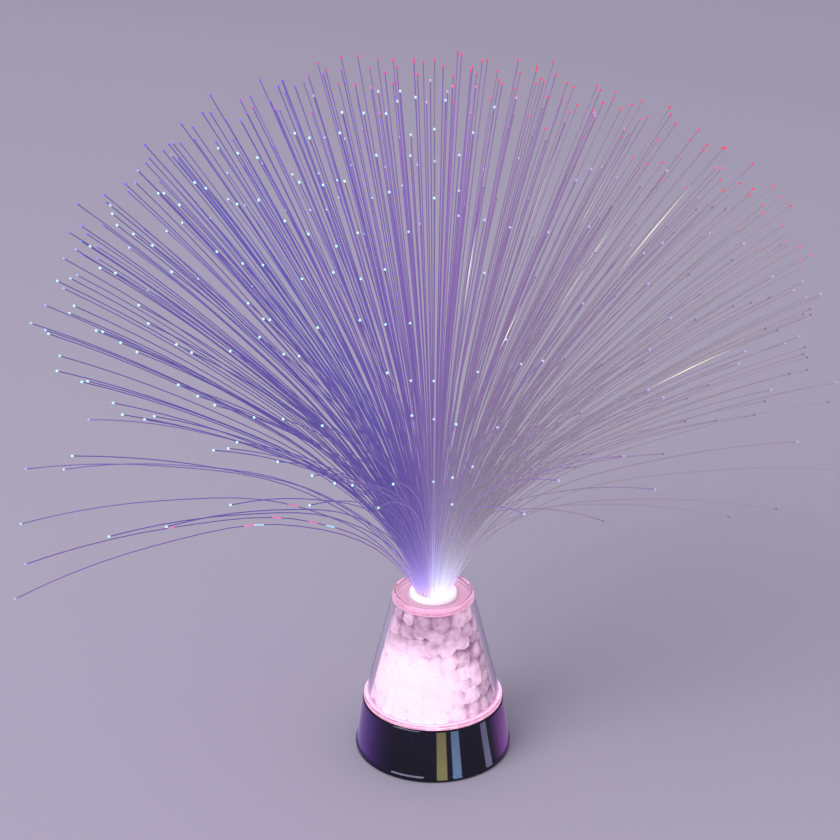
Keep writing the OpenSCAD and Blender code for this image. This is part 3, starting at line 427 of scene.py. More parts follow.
# ---- Contacts ----
# Plates stamped from nickel-plated spring steel strip, and springs wound from the same wire. The
# strip keeps its rolling lines.
nickel, tree, shader = plain_material("nickel", Metallic=1.0)
spot = place_of(tree)
stretched = add(tree, "Mapping", {"Vector": spot, "Scale": (300, 300, 5000)}).outputs["Vector"]
rolled = noise(tree, stretched, 1.0, 2)
strip = mixed(tree, rolled, (0.52, 0.50, 0.45, 1), (0.66, 0.64, 0.58, 1))
tree.links.new(strip, shader.inputs["Base Color"])
tree.links.new(spread(tree, rolled, 0.3, 0.7, 0.18, 0.34), shader.inputs["Roughness"])
bumped(tree, shader, rolled, 0.00001, 0.4)
dressed(nickel, "contact_plates", "contact_springs")


# ---- Slide switch ----
# A small slide switch in the cover's well: a pressed steel case and a ribbed black lever.
case, tree, shader = plain_material("switch_case", Metallic=1.0)
marks = placed(tree, handling, Smooth=0.25, Smudged=0.45, Size=500.0)
case_shade = mixed(tree, marks.outputs["Rub"], (0.45, 0.45, 0.44, 1), (0.62, 0.62, 0.6, 1))
tree.links.new(case_shade, shader.inputs["Base Color"])
tree.links.new(marks.outputs["Roughness"], shader.inputs["Roughness"])
dressed(case, "switch_body")
lever_plastic = moulded_plastic(
    "lever_plastic", (0.012, 0.012, 0.013, 1), (0.03, 0.03, 0.03, 1), size=3000.0, gloss=0.3, dull=0.5
)
dressed(lever_plastic, "switch_knob")


# ---- Wires ----
# Stranded hook-up wire in soft PVC sleeves: red and black from the cells, white to the switch.
def wire_sleeve(name, colour):
    """Soft PVC: satin, with a slightly uneven skin."""
    material, tree, shader = plain_material(name, Roughness=0.38)
    uneven = noise(tree, place_of(tree), 900.0, 2)
    paler = tuple(0.8 * c + 0.05 for c in colour[:3]) + (1,)
    tree.links.new(mixed(tree, uneven, colour, paler), shader.inputs["Base Color"])
    tree.links.new(spread(tree, uneven, 0.3, 0.7, 0.3, 0.5), shader.inputs["Roughness"])
    bumped(tree, shader, uneven, 0.00003, 0.3)
    return material


dressed(wire_sleeve("red_sleeve", (0.45, 0.02, 0.02, 1)), "red_wire")
dressed(wire_sleeve("black_sleeve", (0.015, 0.015, 0.016, 1)), "black_wire")
dressed(wire_sleeve("white_sleeve", (0.62, 0.61, 0.58, 1)), "switch_wire")


# ---- Circuit board ----
# Glass-fibre laminate under a green lacquer, through which its square weave just shows.
board, tree, shader = plain_material("board_lacquer", Roughness=0.35)
spot = place_of(tree)
warp = add(tree, "TexWave", {"Vector": spot, "Scale": 420.0}, bands_direction="X").outputs["Fac"]
weft = add(tree, "TexWave", {"Vector": spot, "Scale": 420.0}, bands_direction="Y").outputs["Fac"]
weave = maths(tree, "MULTIPLY", warp, weft)
green = mixed(tree, weave, (0.012, 0.11, 0.035, 1), (0.03, 0.19, 0.06, 1))
tree.links.new(green, shader.inputs["Base Color"])
bumped(tree, shader, weave, 0.00002, 0.4)
dressed(board, "led_board")

# The controller is a black epoxy block. Its lowest quarter millimetre is the tin of its legs.
TIN_HEIGHT = 0.25 * mm
chip_low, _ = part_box("control_chip")
chip_epoxy, tree, shader = plain_material("chip_epoxy", Roughness=0.5)
speckle = noise(tree, place_of(tree), 3500.0, 2)
epoxy = mixed(tree, speckle, (0.012, 0.012, 0.013, 1), (0.03, 0.03, 0.032, 1))
tin_zone = maths(tree, "LESS_THAN", along_axis(tree, "Z"), chip_low.z + TIN_HEIGHT)
tree.links.new(mixed(tree, tin_zone, epoxy, (0.55, 0.55, 0.54, 1)), shader.inputs["Base Color"])
tree.links.new(tin_zone, shader.inputs["Metallic"])
bumped(tree, shader, speckle, 0.00002, 0.3)
dressed(chip_epoxy, "control_chip")

# Chip resistors: black glazed ceramic with a fine pale speckle.
glaze, tree, shader = plain_material("resistor_glaze", Roughness=0.25)
speckle = noise(tree, place_of(tree), 2600.0, 2)
glazing = mixed(tree, speckle, (0.02, 0.02, 0.024, 1), (0.10, 0.10, 0.11, 1))
tree.links.new(glazing, shader.inputs["Base Color"])
tree.links.new(spread(tree, speckle, 0.3, 0.7, 0.18, 0.4), shader.inputs["Roughness"])
dressed(glaze, "resistors")

# The capacitor is a drawn aluminium can in a dark sleeve that leaves its top bare.
BARE_TOP = 0.4 * mm
_, can_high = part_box("capacitor")
can, tree, shader = plain_material("capacitor_can")
bare_top = maths(tree, "GREATER_THAN", along_axis(tree, "Z"), can_high.z - BARE_TOP)
marks = placed(tree, handling, Smooth=0.25, Smudged=0.4, Size=900.0)
sleeved = mixed(tree, bare_top, (0.02, 0.03, 0.09, 1), (0.7, 0.7, 0.7, 1))
tree.links.new(sleeved, shader.inputs["Base Color"])
tree.links.new(bare_top, shader.inputs["Metallic"])
tree.links.new(marks.outputs["Roughness"], shader.inputs["Roughness"])
dressed(can, "capacitor")


# ---- Lights on the board ----
# Clear epoxy LEDs, lit: white-violet in the middle under the bundle, pink to violet round it. The cup
# of white plastic throws the middle one's light up the tube.
lit_epoxy, tree, shader = plain_material(
    "lit_epoxy", Base_Color=(0.9, 0.85, 1, 1), Roughness=0.12, Emission_Strength=6.0
)
height = along_axis(tree, "Z")
led_low, led_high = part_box("centre_led")
lens_zone = spread(tree, height, led_low.z, led_high.z, 0.15, 1.0)
lens_light = mixed(tree, lens_zone, (0.10, 0.05, 0.12, 1), (1, 0.86, 1, 1))
tree.links.new(lens_light, shader.inputs["Emission Color"])
dressed(lit_epoxy, "centre_led")

RING_REACH = 17 * mm
ring_epoxy, tree, shader = plain_material(
    "ring_epoxy", Base_Color=(0.9, 0.8, 0.9, 1), Roughness=0.12, Emission_Strength=4.0
)
side = spread(tree, along_axis(tree, "X"), -RING_REACH, RING_REACH)
tree.links.new(mixed(tree, side, (1, 0.55, 0.85, 1), (0.7, 0.4, 1, 1)), shader.inputs["Emission Color"])
dulled = spread(tree, noise(tree, place_of(tree), 800.0), 0.3, 0.7, 0.08, 0.2)
tree.links.new(dulled, shader.inputs["Roughness"])
dressed(ring_epoxy, "side_leds")

cup_plastic = moulded_plastic(
    "cup_plastic", (0.8, 0.78, 0.8, 1), (0.86, 0.85, 0.88, 1), size=3000.0, gloss=0.15, dull=0.3
)
dressed(cup_plastic, "reflector_cup")


# ---- Light inside the cone ----
# The lamp's light comes up from the left of the middle: the chips there are too bright to show any
# colour, then it falls off through pink to mauve. This field is shared by all that stands in it.
GLOW_MIDDLE = (-6 * mm, -9 * mm, 38 * mm)
GLOW_REACH = 25 * mm
GLOW_SQUASH = (1.0, 0.75, 0.9)
GLOW_FULL, GLOW_GONE = 0.45, 1.35

glow_field, takes, gives = effect_group(
    "glow_in_cone",
    [("Reach", "Float", GLOW_REACH)],
    [("Glow", "Float")],
)
spot = place_of(glow_field)
offset = add(glow_field, "VectorMath", {0: spot, 1: GLOW_MIDDLE}, operation="SUBTRACT").outputs[0]
flattened = add(glow_field, "VectorMath", {0: offset, 1: GLOW_SQUASH}, operation="MULTIPLY").outputs[0]
far = add(glow_field, "VectorMath", {0: flattened}, operation="LENGTH").outputs["Value"]
far = maths(glow_field, "DIVIDE", far, takes.outputs["Reach"])
glow_field.links.new(spread(glow_field, far, GLOW_GONE, GLOW_FULL), gives.inputs["Glow"])


# ---- Crystal chips ----
# Tumbled chips of clear acrylic, poured into the cone and held down by its dish. Each is a rounded
# lump that catches the light on the side it turns outwards and is darker round its flanks.
CHIP_SWELL = (1.02, 1.22)
CHIP_SPIN = 0.75
CHIP_TILT = 0.18
CHIP_ROUNDING = 2
CHIP_DENT = 0.8 * mm
CHIP_DENT_SIZE = 2.8 * mm
GOLDEN = 0.618034
# How far the cone's wall leans inwards for each unit of height
WALL_LEAN = 0.2414
tube_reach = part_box("light_tube")[1].x + 0.1 * mm


def held_in(corner, floor, ceiling, wall):
    """Moves a chip's corner back between the floor, the ceiling, the tube and the leaning wall."""
    corner.z = min(max(corner.z, floor), ceiling)
    reach = math.hypot(corner.x, corner.y)
    held = max(min(reach, wall - WALL_LEAN * corner.z), tube_reach)
    corner.x *= held / reach
    corner.y *= held / reach


def tumbled_chips(name, node, material):
    """The chips of a CAD node, each turned, swelled, rounded off and dented. Every corner knows how far
    it looks outwards and its chip's own number, spread over 0 to 1 by the golden ratio."""
    dice = random.Random(name)
    shape = bmesh.new()
    shape.from_mesh(nodes[node].data)
    bmesh.ops.remove_doubles(shape, verts=shape.verts, dist=0.001 * mm)
    number = shape.verts.layers.float.new("chip")
    unseen = set(shape.verts)
    chips = []
    while unseen:
        found = [unseen.pop()]
        for corner in found:
            for edge in corner.link_edges:
                other = edge.other_vert(corner)
                if other in unseen:
                    unseen.remove(other)
                    found.append(other)
        chips.append(found)
    chips.sort(key=lambda chip: tuple(round(c, 6) for c in sum((v.co for v in chip), Vector())))
    wall = max(math.hypot(corner.co.x, corner.co.y) + WALL_LEAN * corner.co.z for corner in shape.verts)
    floor, ceiling = (corner.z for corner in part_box(node))
    hearts = []
    for place, chip in enumerate(chips):
        heart = sum((corner.co for corner in chip), Vector()) / len(chip)
        hearts.append(heart)
        turn = Matrix.Rotation(dice.uniform(-CHIP_SPIN, CHIP_SPIN), 3, (heart.x, heart.y, 0))
        turn @= Matrix.Rotation(dice.uniform(-CHIP_TILT, CHIP_TILT), 3, "Z")
        swell = dice.uniform(*CHIP_SWELL)
        for corner in chip:
            corner[number] = place
            corner.co = heart + turn @ (corner.co - heart) * swell
    for _ in range(CHIP_ROUNDING):
        bmesh.ops.subdivide_edges(shape, edges=shape.edges, cuts=1, use_grid_fill=True, smooth=0.7)
    outward, chip_number = [], []
    for corner in shape.verts:
        heart = hearts[round(corner[number])]
        arm = corner.co - heart
        away = Vector((heart.x, heart.y, 0)).normalized()
        corner.co += arm.normalized() * CHIP_DENT * fractal(corner.co / CHIP_DENT_SIZE, 0.7, 2, 2)
        held_in(corner.co, floor, ceiling, wall)
        outward.append(0.5 + 0.5 * arm.normalized().dot(away))
        chip_number.append((corner[number] * GOLDEN) % 1)
    mesh = bpy.data.meshes.new(name)
    shape.to_mesh(mesh)
    shape.free()
    mesh.polygons.foreach_set("use_smooth", [True] * len(mesh.polygons))
    mesh.attributes.new("outward", "FLOAT", "POINT").data.foreach_set("value", outward)
    mesh.attributes.new("own", "FLOAT", "POINT").data.foreach_set("value", chip_number)
    mesh.materials.append(material)
    piece = bpy.data.objects.new(name, mesh)
    bpy.context.scene.collection.objects.link(piece)
    return piece


CHIP_BRIGHT = (1.0, 0.76, 0.86, 1)
CHIP_DIM = (0.09, 0.020, 0.050, 1)
# The lit and the shaded base colour of the chips: painted light, not a colour of the clear acrylic.
CHIP_LIT_BASE = (0.56, 0.39, 0.49, 1)
CHIP_SHADED_BASE = (0.24, 0.13, 0.21, 1)
MOOD_MIDDLE, FACET_MIDDLE = 0.8, 0.6
UNEVENNESS = 0.7


def chip_acrylic(name, clear):
    """Lit chips: bright where the glow is and on the side turned outwards, mauve away from both, with
    painted light in the base colour too: lighter on the side turned outwards.
    """
    material, tree, shader = plain_material(
        name, Roughness=0.1, IOR=1.49, Transmission_Weight=clear, Emission_Strength=1.0
    )
    field = placed(tree, glow_field, Reach=GLOW_REACH)
    outward = add(tree, "Attribute", attribute_name="outward").outputs["Fac"]
    own = add(tree, "Attribute", attribute_name="own").outputs["Fac"]
    cloud = noise(tree, place_of(tree), 330.0, 2, 0.6)
    facet = spread(tree, outward, 0.45, 1.0)
    mood = maths(tree, "ADD", maths(tree, "MULTIPLY", own, 0.5), maths(tree, "MULTIPLY", cloud, 1.1))
    mood = maths(tree, "MULTIPLY", maths(tree, "SUBTRACT", mood, MOOD_MIDDLE), UNEVENNESS)
    turned_out = maths(tree, "MULTIPLY", maths(tree, "SUBTRACT", facet, FACET_MIDDLE), UNEVENNESS)
    lit = maths(tree, "ADD", maths(tree, "ADD", field.outputs["Glow"], mood), turned_out)
    lit = spread(tree, lit, -0.25, 0.95)
    tree.links.new(mixed(tree, lit, CHIP_DIM, CHIP_BRIGHT), shader.inputs["Emission Color"])
    # Painted shade in the base colour: lighter on the side turned outwards and mauve round the flanks,
    # with a random share for each chip.
    painted_lit_share = maths(tree, "ADD", maths(tree, "MULTIPLY", facet, 0.7), maths(tree, "MULTIPLY", own, 0.3))
    tree.links.new(mixed(tree, painted_lit_share, CHIP_SHADED_BASE, CHIP_LIT_BASE), shader.inputs["Base Color"])
    bumped(tree, shader, noise(tree, place_of(tree), 900.0, 2), 0.0002, 0.3)
    return material


for height, slot, clear in (
    ("lower", "crystal_bright", 0.25), ("middle", "crystal_bright", 0.25), ("upper", "crystal_dim", 0.3)
):
    node = "crystals_" + height
    chips = tumbled_chips("chips_" + height, node, chip_acrylic("chip_acrylic_" + height, clear))
    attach(chips, "lamp")
    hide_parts(node)


# ---- Cone ----
# Thin clear acrylic, moulded with a flange that snaps into the deck and a frosted dished top. Light
# travels in the wall and comes out at its edges, so the flange, dish and rim shine pale pink.
WALL_TINT = (0.93, 0.88, 0.97, 1)
RIM_FADE = (2.4 * mm, 0.2 * mm)
RIM_SHARE = 0.35
FLANGE_FADE = (3.4 * mm, 1.6 * mm)
DISH_BELOW_SOCKET = 2.2 * mm
DISH_REACH = 17.5 * mm
DISH_FROST = 0.4
_, cone_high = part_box("crystal_cone")
_, drum_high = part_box("base_shell")
_, socket_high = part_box("fibre_socket")

clear_cone, tree, shader = plain_material(
    "clear_acrylic", IOR=1.49, Transmission_Weight=1.0, Emission_Strength=1.0
)
spot = place_of(tree)
height = along_axis(tree, "Z", spot)
flat_spot = add(tree, "VectorMath", {0: spot, 1: (1, 1, 0)}, operation="MULTIPLY").outputs[0]
radius = add(tree, "VectorMath", {0: flat_spot}, operation="LENGTH").outputs["Value"]
rim_glow = spread(tree, height, cone_high.z - RIM_FADE[0], cone_high.z - RIM_FADE[1])
flange_glow = spread(tree, height, drum_high.z + FLANGE_FADE[0], drum_high.z + FLANGE_FADE[1])
high_enough = maths(tree, "GREATER_THAN", height, socket_high.z - DISH_BELOW_SOCKET)
in_dish = maths(tree, "MULTIPLY", high_enough, maths(tree, "LESS_THAN", radius, DISH_REACH))
edge_glow = maths(tree, "MAXIMUM", maths(tree, "MULTIPLY", rim_glow, RIM_SHARE), flange_glow)
wall_light = mixed(tree, edge_glow, (0.012, 0.006, 0.014, 1), (0.55, 0.26, 0.38, 1))
wall_light = mixed(tree, in_dish, wall_light, (0.36, 0.20, 0.27, 1))
tree.links.new(wall_light, shader.inputs["Emission Color"])
tree.links.new(mixed(tree, in_dish, WALL_TINT, (0.85, 0.68, 0.78, 1)), shader.inputs["Base Color"])
marks = placed(tree, handling, Smooth=0.02, Smudged=0.06, Size=70.0)
dish_frost = maths(tree, "MULTIPLY", in_dish, DISH_FROST)
frosting = maths(tree, "MAXIMUM", marks.outputs["Roughness"], dish_frost)
tree.links.new(frosting, shader.inputs["Roughness"])
dressed(clear_cone, "crystal_cone")


# ---- Cone floor, light tube and socket ----
# Frosted moulded parts between the chips, the board and the fibres. They scatter the light that enters
# them, so they glow all through, and more where the light in the cone is strong.
FROST_REACH = 1.4 * GLOW_REACH
FROST_SHADE = 0.35


def frosted(name, colour, glow, strength):
    """Frosted plastic with light in it."""
    material, tree, shader = plain_material(name, Base_Color=colour, Emission_Strength=strength)
    texture = placed(tree, grain, Size=2600.0, Gloss=0.45, Dull=0.65)
    field = placed(tree, glow_field, Reach=FROST_REACH)
    tree.links.new(texture.outputs["Roughness"], shader.inputs["Roughness"])
    shaded = tuple(FROST_SHADE * c for c in glow[:3]) + (1,)
    tree.links.new(mixed(tree, field.outputs["Glow"], shaded, glow), shader.inputs["Emission Color"])
    bumped(tree, shader, texture.outputs["Height"], 0.00003, 0.4)
    return material


dressed(frosted("frosted_floor", (0.45, 0.32, 0.42, 1), (1, 0.62, 0.78, 1), 0.35), "cone_floor")
dressed(frosted("frosted_tube", (0.5, 0.40, 0.48, 1), (1, 0.70, 0.84, 1), 0.45), "light_tube")
dressed(frosted("frosted_socket", (0.55, 0.42, 0.5, 1), (1, 0.62, 0.78, 1), 0.40), "fibre_socket")


# ---- Plug ----
# A collar of natural white plastic round the bundle's end. It stands in the full light of the bundle,
# so its head is the brightest edge on the lamp.
plug_plastic, tree, shader = plain_material(
    "plug_plastic", Base_Color=(0.85, 0.80, 0.88, 1), Roughness=0.3, Emission_Strength=0.4
)
soft_patch = noise(tree, place_of(tree), 320.0, 2)
plug_light = mixed(tree, soft_patch, (1, 0.86, 0.94, 1), (1, 0.97, 1, 1))
tree.links.new(plug_light, shader.inputs["Emission Color"])
tree.links.new(spread(tree, soft_patch, 0.3, 0.7, 0.22, 0.4), shader.inputs["Roughness"])
dressed(plug_plastic, "fibre_plug")


# ---- Fibres ----
# Some five hundred strands of acrylic fibre, glued into the plug as one bundle. Each leaves it leaning
# out a little, is bent over by its own weight early on, and is nearly straight towards its tip.
plug_low, plug_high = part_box("fibre_plug")
STRAND_FOOT = plug_low.z + 0.3 * mm
BUNDLE_TOP = plug_high.z + 0.4 * mm
BUNDLE_REACH = 8.6 * mm
BUNDLE_RINGS = 12
STRAND_RADIUS = 0.24 * mm
BEAD_RADIUS = 0.58 * mm
STRAND_SIDES = 6
STRAND_STEPS = 20
STEP_BIAS = 1.35
BEAD_NECK, BEAD_BULGE = 1.0 * mm, 0.45 * mm
BEAD_FLAT = 0.6
KNOT_SHARES = [(knot / 4) ** 1.4 for knot in range(5)]
BETWEEN_SHARE = 0.75
BETWEEN_REACH = (-0.03, 0.005)
SHOULDER_LOW, SHOULDER_HIGH = math.radians(15), math.radians(75)
SHOULDER_REACH = 0.06
dice = random.Random(7)


def cad_strands(node):
    """Every strand of a CAD fibre node, as the middles of its cross-sections from root to tip."""
    mesh = nodes[node].data
    numbers, places, number_of = {}, [], []
    for corner in mesh.vertices:
        key = tuple(round(c, 6) for c in corner.co)
        if key not in numbers:
            numbers[key] = len(places)
            places.append(corner.co.copy())
        number_of.append(numbers[key])
    beside = [set() for _ in places]
    for edge in mesh.edges:
        one, other = (number_of[corner] for corner in edge.vertices)
        beside[one].add(other)
        beside[other].add(one)
    bundle = {
        number for number, place in enumerate(places)
        if place.z < BUNDLE_TOP + 0.01 * mm and math.hypot(place.x, place.y) < BUNDLE_REACH + 0.1 * mm
    }
    rooted = [
        number for number, around in enumerate(beside)
        if number not in bundle and around & bundle
    ]
    strands, used = [], set()
    for start in rooted:
        if start in used:
            continue
        section = {start} | {number for number in beside[start] if number in rooted}
        before = set().union(*(beside[number] & bundle for number in section))
        sections = [before]
        while section:
            used |= section
            sections.append(section)
            section = set().union(*(beside[number] for number in section)) - section - before - bundle
            before = sections[-1]
        strands.append([sum((places[n] for n in group), Vector()) / len(group) for group in sections])
    return strands


def ring_order(knots):
    """Which ring of the bundle a strand stands in, and its heading there."""
    root = knots[0]
    ring = int(math.hypot(root.x, root.y) / BUNDLE_REACH * BUNDLE_RINGS)
    return ring, math.atan2(root.y, root.x)


def shouldered(knots):
    """A strand's knots, further out by up to SHOULDER_REACH where it leans over to the left or right."""
    way = knots[-1] - knots[0]
    level = math.hypot(way.x, way.y)
    lean = (math.atan2(level, way.z) - SHOULDER_LOW) / (SHOULDER_HIGH - SHOULDER_LOW)
    lean = min(max(lean, 0), 1)
    reach = 1 + SHOULDER_REACH * math.sin(math.pi * lean) ** 2 * (way.x / level) ** 2
    return [knots[0] + (knot - knots[0]) * reach for knot in knots]


def with_strands_between(strands):
    """The strands, and more of them that run midway between two neighbours of one ring."""
    strands = sorted(strands, key=ring_order)
    more = []
    for one, other in zip(strands, strands[1:]):
        if ring_order(one)[0] != ring_order(other)[0] or ring_order(one)[0] >= BUNDLE_RINGS - 1:
            continue
        if dice.random() < BETWEEN_SHARE:
            reach = 1 + dice.uniform(*BETWEEN_REACH)
            middle = [(a + b) / 2 for a, b in zip(one, other)]
            more.append([middle[0] + (knot - middle[0]) * reach for knot in middle])
    return strands + more


def strand_path(knots):
    """Points up one strand, with its share of the free length at each: from the plug's foot straight up
    to its root, then one smooth curve through its knots."""
    spans = [b - a for a, b in zip(KNOT_SHARES, KNOT_SHARES[1:])]
    slopes = [(b - a) / span for a, b, span in zip(knots, knots[1:], spans)]
    ways = [(before * after_span + after * before_span) / (before_span + after_span)
            for before, after, before_span, after_span in zip(slopes, slopes[1:], spans, spans[1:])]
    ways = [2 * slopes[0] - ways[0]] + ways + [2 * slopes[-1] - ways[-1]]
    path = [(Vector((knots[0].x, knots[0].y, STRAND_FOOT)), 0.0), (knots[0], 0.0)]
    for step in range(1, STRAND_STEPS + 1):
        share = (step / STRAND_STEPS) ** STEP_BIAS
        piece = min(sum(share > end for end in KNOT_SHARES[1:]), len(spans) - 1)
        span = spans[piece]
        t = (share - KNOT_SHARES[piece]) / span
        point = (knots[piece] * (1 - t) ** 2 * (1 + 2 * t) + knots[piece + 1] * t ** 2 * (3 - 2 * t)
                 + ways[piece] * span * t * (1 - t) ** 2 - ways[piece + 1] * span * t ** 2 * (1 - t))
        path.append((point, share))
    return path


def strand_rings(path):
    """A strand's path with its radius and its share at each ring: it ends in a small melted bead."""
    rings = [(point, STRAND_RADIUS, share) for point, share in path[:-1]]
    tip, way = path[-1][0], (path[-1][0] - path[-2][0]).normalized()
    rings.append((tip - way * BEAD_NECK, STRAND_RADIUS, 0.99))
    rings.append((tip - way * BEAD_BULGE, BEAD_RADIUS, 0.995))
    rings.append((tip, BEAD_FLAT * BEAD_RADIUS, 1.0))
    return rings


def fibre_piece(name, strands, material):
    """One mesh of strands. Each has its own number, knows where its tip is, and has one strip of the
    texture to bake on."""
    points, faces, strip, along, own, tips = [], [], [], [], [], []
    for number, knots in enumerate(strands):
        path = strand_path(knots)
        rings = strand_rings(path)
        first = len(points)
        heading = math.atan2(knots[0].y, knots[0].x)
        for place, (centre, radius, share) in enumerate(rings):
            before = rings[max(place - 1, 0)][0]
            after = rings[min(place + 1, len(rings) - 1)][0]
            way = (after - before).normalized()
            level = Vector((-math.sin(heading), math.cos(heading), 0))
            level = (level - way * level.dot(way)).normalized()
            upright = way.cross(level)
            for corner in range(STRAND_SIDES):
                turn = 2 * math.pi * corner / STRAND_SIDES
                points.append(centre + (level * math.cos(turn) + upright * math.sin(turn)) * radius)
                along.append(share)
                own.append((number * GOLDEN) % 1)
                tips.extend(path[-1][0])
        for place in range(len(rings) - 1):
            for corner in range(STRAND_SIDES):
                low = first + place * STRAND_SIDES
                high = low + STRAND_SIDES
                beside = (corner + 1) % STRAND_SIDES
                faces.append((low + corner, low + beside, high + beside, high + corner))
                left, right = (number + 0.15) / len(strands), (number + 0.85) / len(strands)
                foot, head = place / len(rings), (place + 1) / len(rings)
                strip += [(left, foot), (right, foot), (right, head), (left, head)]
        for start, row, order in ((first, 0, -1), (len(points) - STRAND_SIDES, len(rings) - 1, 1)):
            faces.append(tuple(start + corner for corner in range(STRAND_SIDES))[::order])
            strip += [((number + 0.5) / len(strands), (row + 0.5) / len(rings))] * STRAND_SIDES
    piece = mesh_piece(name, points, faces, material)
    piece.data.attributes.new("along", "FLOAT", "POINT").data.foreach_set("value", along)
    piece.data.attributes.new("own", "FLOAT", "POINT").data.foreach_set("value", own)
    piece.data.attributes.new("tip", "FLOAT_VECTOR", "POINT").data.foreach_set("vector", tips)
    layer = piece.data.uv_layers.new(name="OFBake")
    layer.data.foreach_set("uv", [number for pair in strip for number in pair])
    return piece


# The light that a strand carries, with the body colour and a few glints painted to go with it. Its skin
# leaks it brightly near the root and faintly further up, and the bead at its tip shines: cyan-white on
# the left, violet at the dome's left edge and red at its top and right edge, while many tips on the
# right stay dim.
ACROSS_REACH = 0.2
ACROSS_JITTER = 0.12
VIEW_UP, VIEW_BACK = 0.906, 0.423
EDGE_REACH = (0.218, 0.236)
EDGE_JITTER = 0.01
RIGHT_SIDE = 0.58
SHY_SHARE = 0.35
NICK_PIECES = 45.0
NICK_MIDDLE, NICK_REACH = 0.48, 0.2
NICK_HEIGHT = 0.165
GLINT_MIDDLE = 0.8
BEAD_START = 0.9895

carried, takes, gives = effect_group(
    "carried_light",
    [("Root Glow", "Float", 0.05), ("Leak", "Float", 0.05),
     ("Nicks", "Float", 0.0), ("Glints", "Float", 0.0)],
    [("Body", "Color"), ("Light", "Color")],
)
share = add(carried, "Attribute", attribute_name="along").outputs["Fac"]
strand = add(carried, "Attribute", attribute_name="own").outputs["Fac"]
tip = add(carried, "Attribute", attribute_name="tip").outputs["Vector"]
tip_x = along_axis(carried, "X", tip)
tip_back = along_axis(carried, "Y", tip)
tip_height = along_axis(carried, "Z", tip)
across_range = {"Value": tip_x, "From Min": -ACROSS_REACH, "From Max": ACROSS_REACH}
across = add(carried, "MapRange", across_range).outputs["Result"]
jitter = maths(carried, "MULTIPLY", maths(carried, "SUBTRACT", strand, 0.5), ACROSS_JITTER)
across = maths(carried, "ADD", across, jitter)

# How far out on the dome a tip is, as it is seen from the front and a little above
rise = maths(carried, "MULTIPLY", tip_height, VIEW_UP)
rise = maths(carried, "ADD", rise, maths(carried, "MULTIPLY", tip_back, VIEW_BACK))
rise = maths(carried, "SUBTRACT", rise, VIEW_UP * BUNDLE_TOP)
dome_reach = add(carried, "CombineXYZ", {0: tip_x, 1: rise}).outputs[0]
dome_reach = add(carried, "VectorMath", {0: dome_reach}, operation="LENGTH").outputs["Value"]
dome_reach = maths(carried, "ADD", dome_reach, maths(carried, "MULTIPLY", strand, EDGE_JITTER))
at_edge = spread(carried, dome_reach, *EDGE_REACH)


def ramp(tree, value, *stops):
    """Colours at stops along a value from 0 to 1."""
    node = add(tree, "ValToRGB", {"Fac": value})
    ends = node.color_ramp.elements
    while len(ends) < len(stops):
        ends.new(0.5)
    for end, (position, colour) in zip(ends, stops):
        end.position = position
        end.color = (*colour, 1)
    return node.outputs["Color"]


# The strands' body colour is painted in the colour of the light they carry, blue-violet on the left to
# grey-mauve on the right: painted light.
painted_skin_colour = ramp(
    carried, across,
    (0.0, (0.16, 0.10, 0.36)), (0.25, (0.13, 0.11, 0.52)), (0.5, (0.28, 0.12, 0.50)),
    (0.72, (0.30, 0.20, 0.34)), (1.0, (0.36, 0.34, 0.36)),
)
root_colour = ramp(
    carried, across,
    (0.0, (0.24, 0.14, 0.40)), (0.35, (0.42, 0.31, 0.58)), (0.5, (0.70, 0.72, 0.95)),
    (0.62, (0.90, 1.0, 1.0)), (1.0, (0.60, 0.50, 0.75)),
)
inner_tip = ramp(
    carried, across,
    (0.0, (0.10, 0.10, 0.30)), (0.12, (0.17, 0.30, 0.36)), (0.45, (0.17, 0.30, 0.36)),
    (0.6, (0.14, 0.10, 0.24)), (1.0, (0.13, 0.11, 0.14)),
)
edge_tip = ramp(
    carried, across,
    (0.0, (0.05, 0.02, 0.22)), (0.3, (0.06, 0.02, 0.26)), (0.42, (0.24, 0.01, 0.07)),
    (0.88, (0.32, 0.004, 0.02)), (1.0, (0.12, 0.06, 0.12)),
)
tip_colour = mixed(carried, at_edge, inner_tip, edge_tip)
right_half = maths(carried, "GREATER_THAN", across, RIGHT_SIDE)
shy = maths(carried, "MULTIPLY", maths(carried, "GREATER_THAN", strand, SHY_SHARE), right_half)
shy = maths(carried, "MULTIPLY", shy, maths(carried, "SUBTRACT", 1.0, at_edge))
tip_colour = mixed(carried, shy, tip_colour, (0.06, 0.045, 0.07, 1))

to_tip = maths(carried, "SUBTRACT", 1.0, share)
root_fade = maths(carried, "POWER", to_tip, 14.0)
leak_fade = maths(carried, "POWER", to_tip, 2.5)
leaking = maths(carried, "MULTIPLY", takes.outputs["Leak"], maths(carried, "ADD", 0.25, leak_fade))
root_share = maths(carried, "MULTIPLY", root_fade, takes.outputs["Root Glow"])
glow_share = maths(carried, "ADD", root_share, leaking)
skin_light = mixed(carried, glow_share, (0, 0, 0, 1), root_colour)

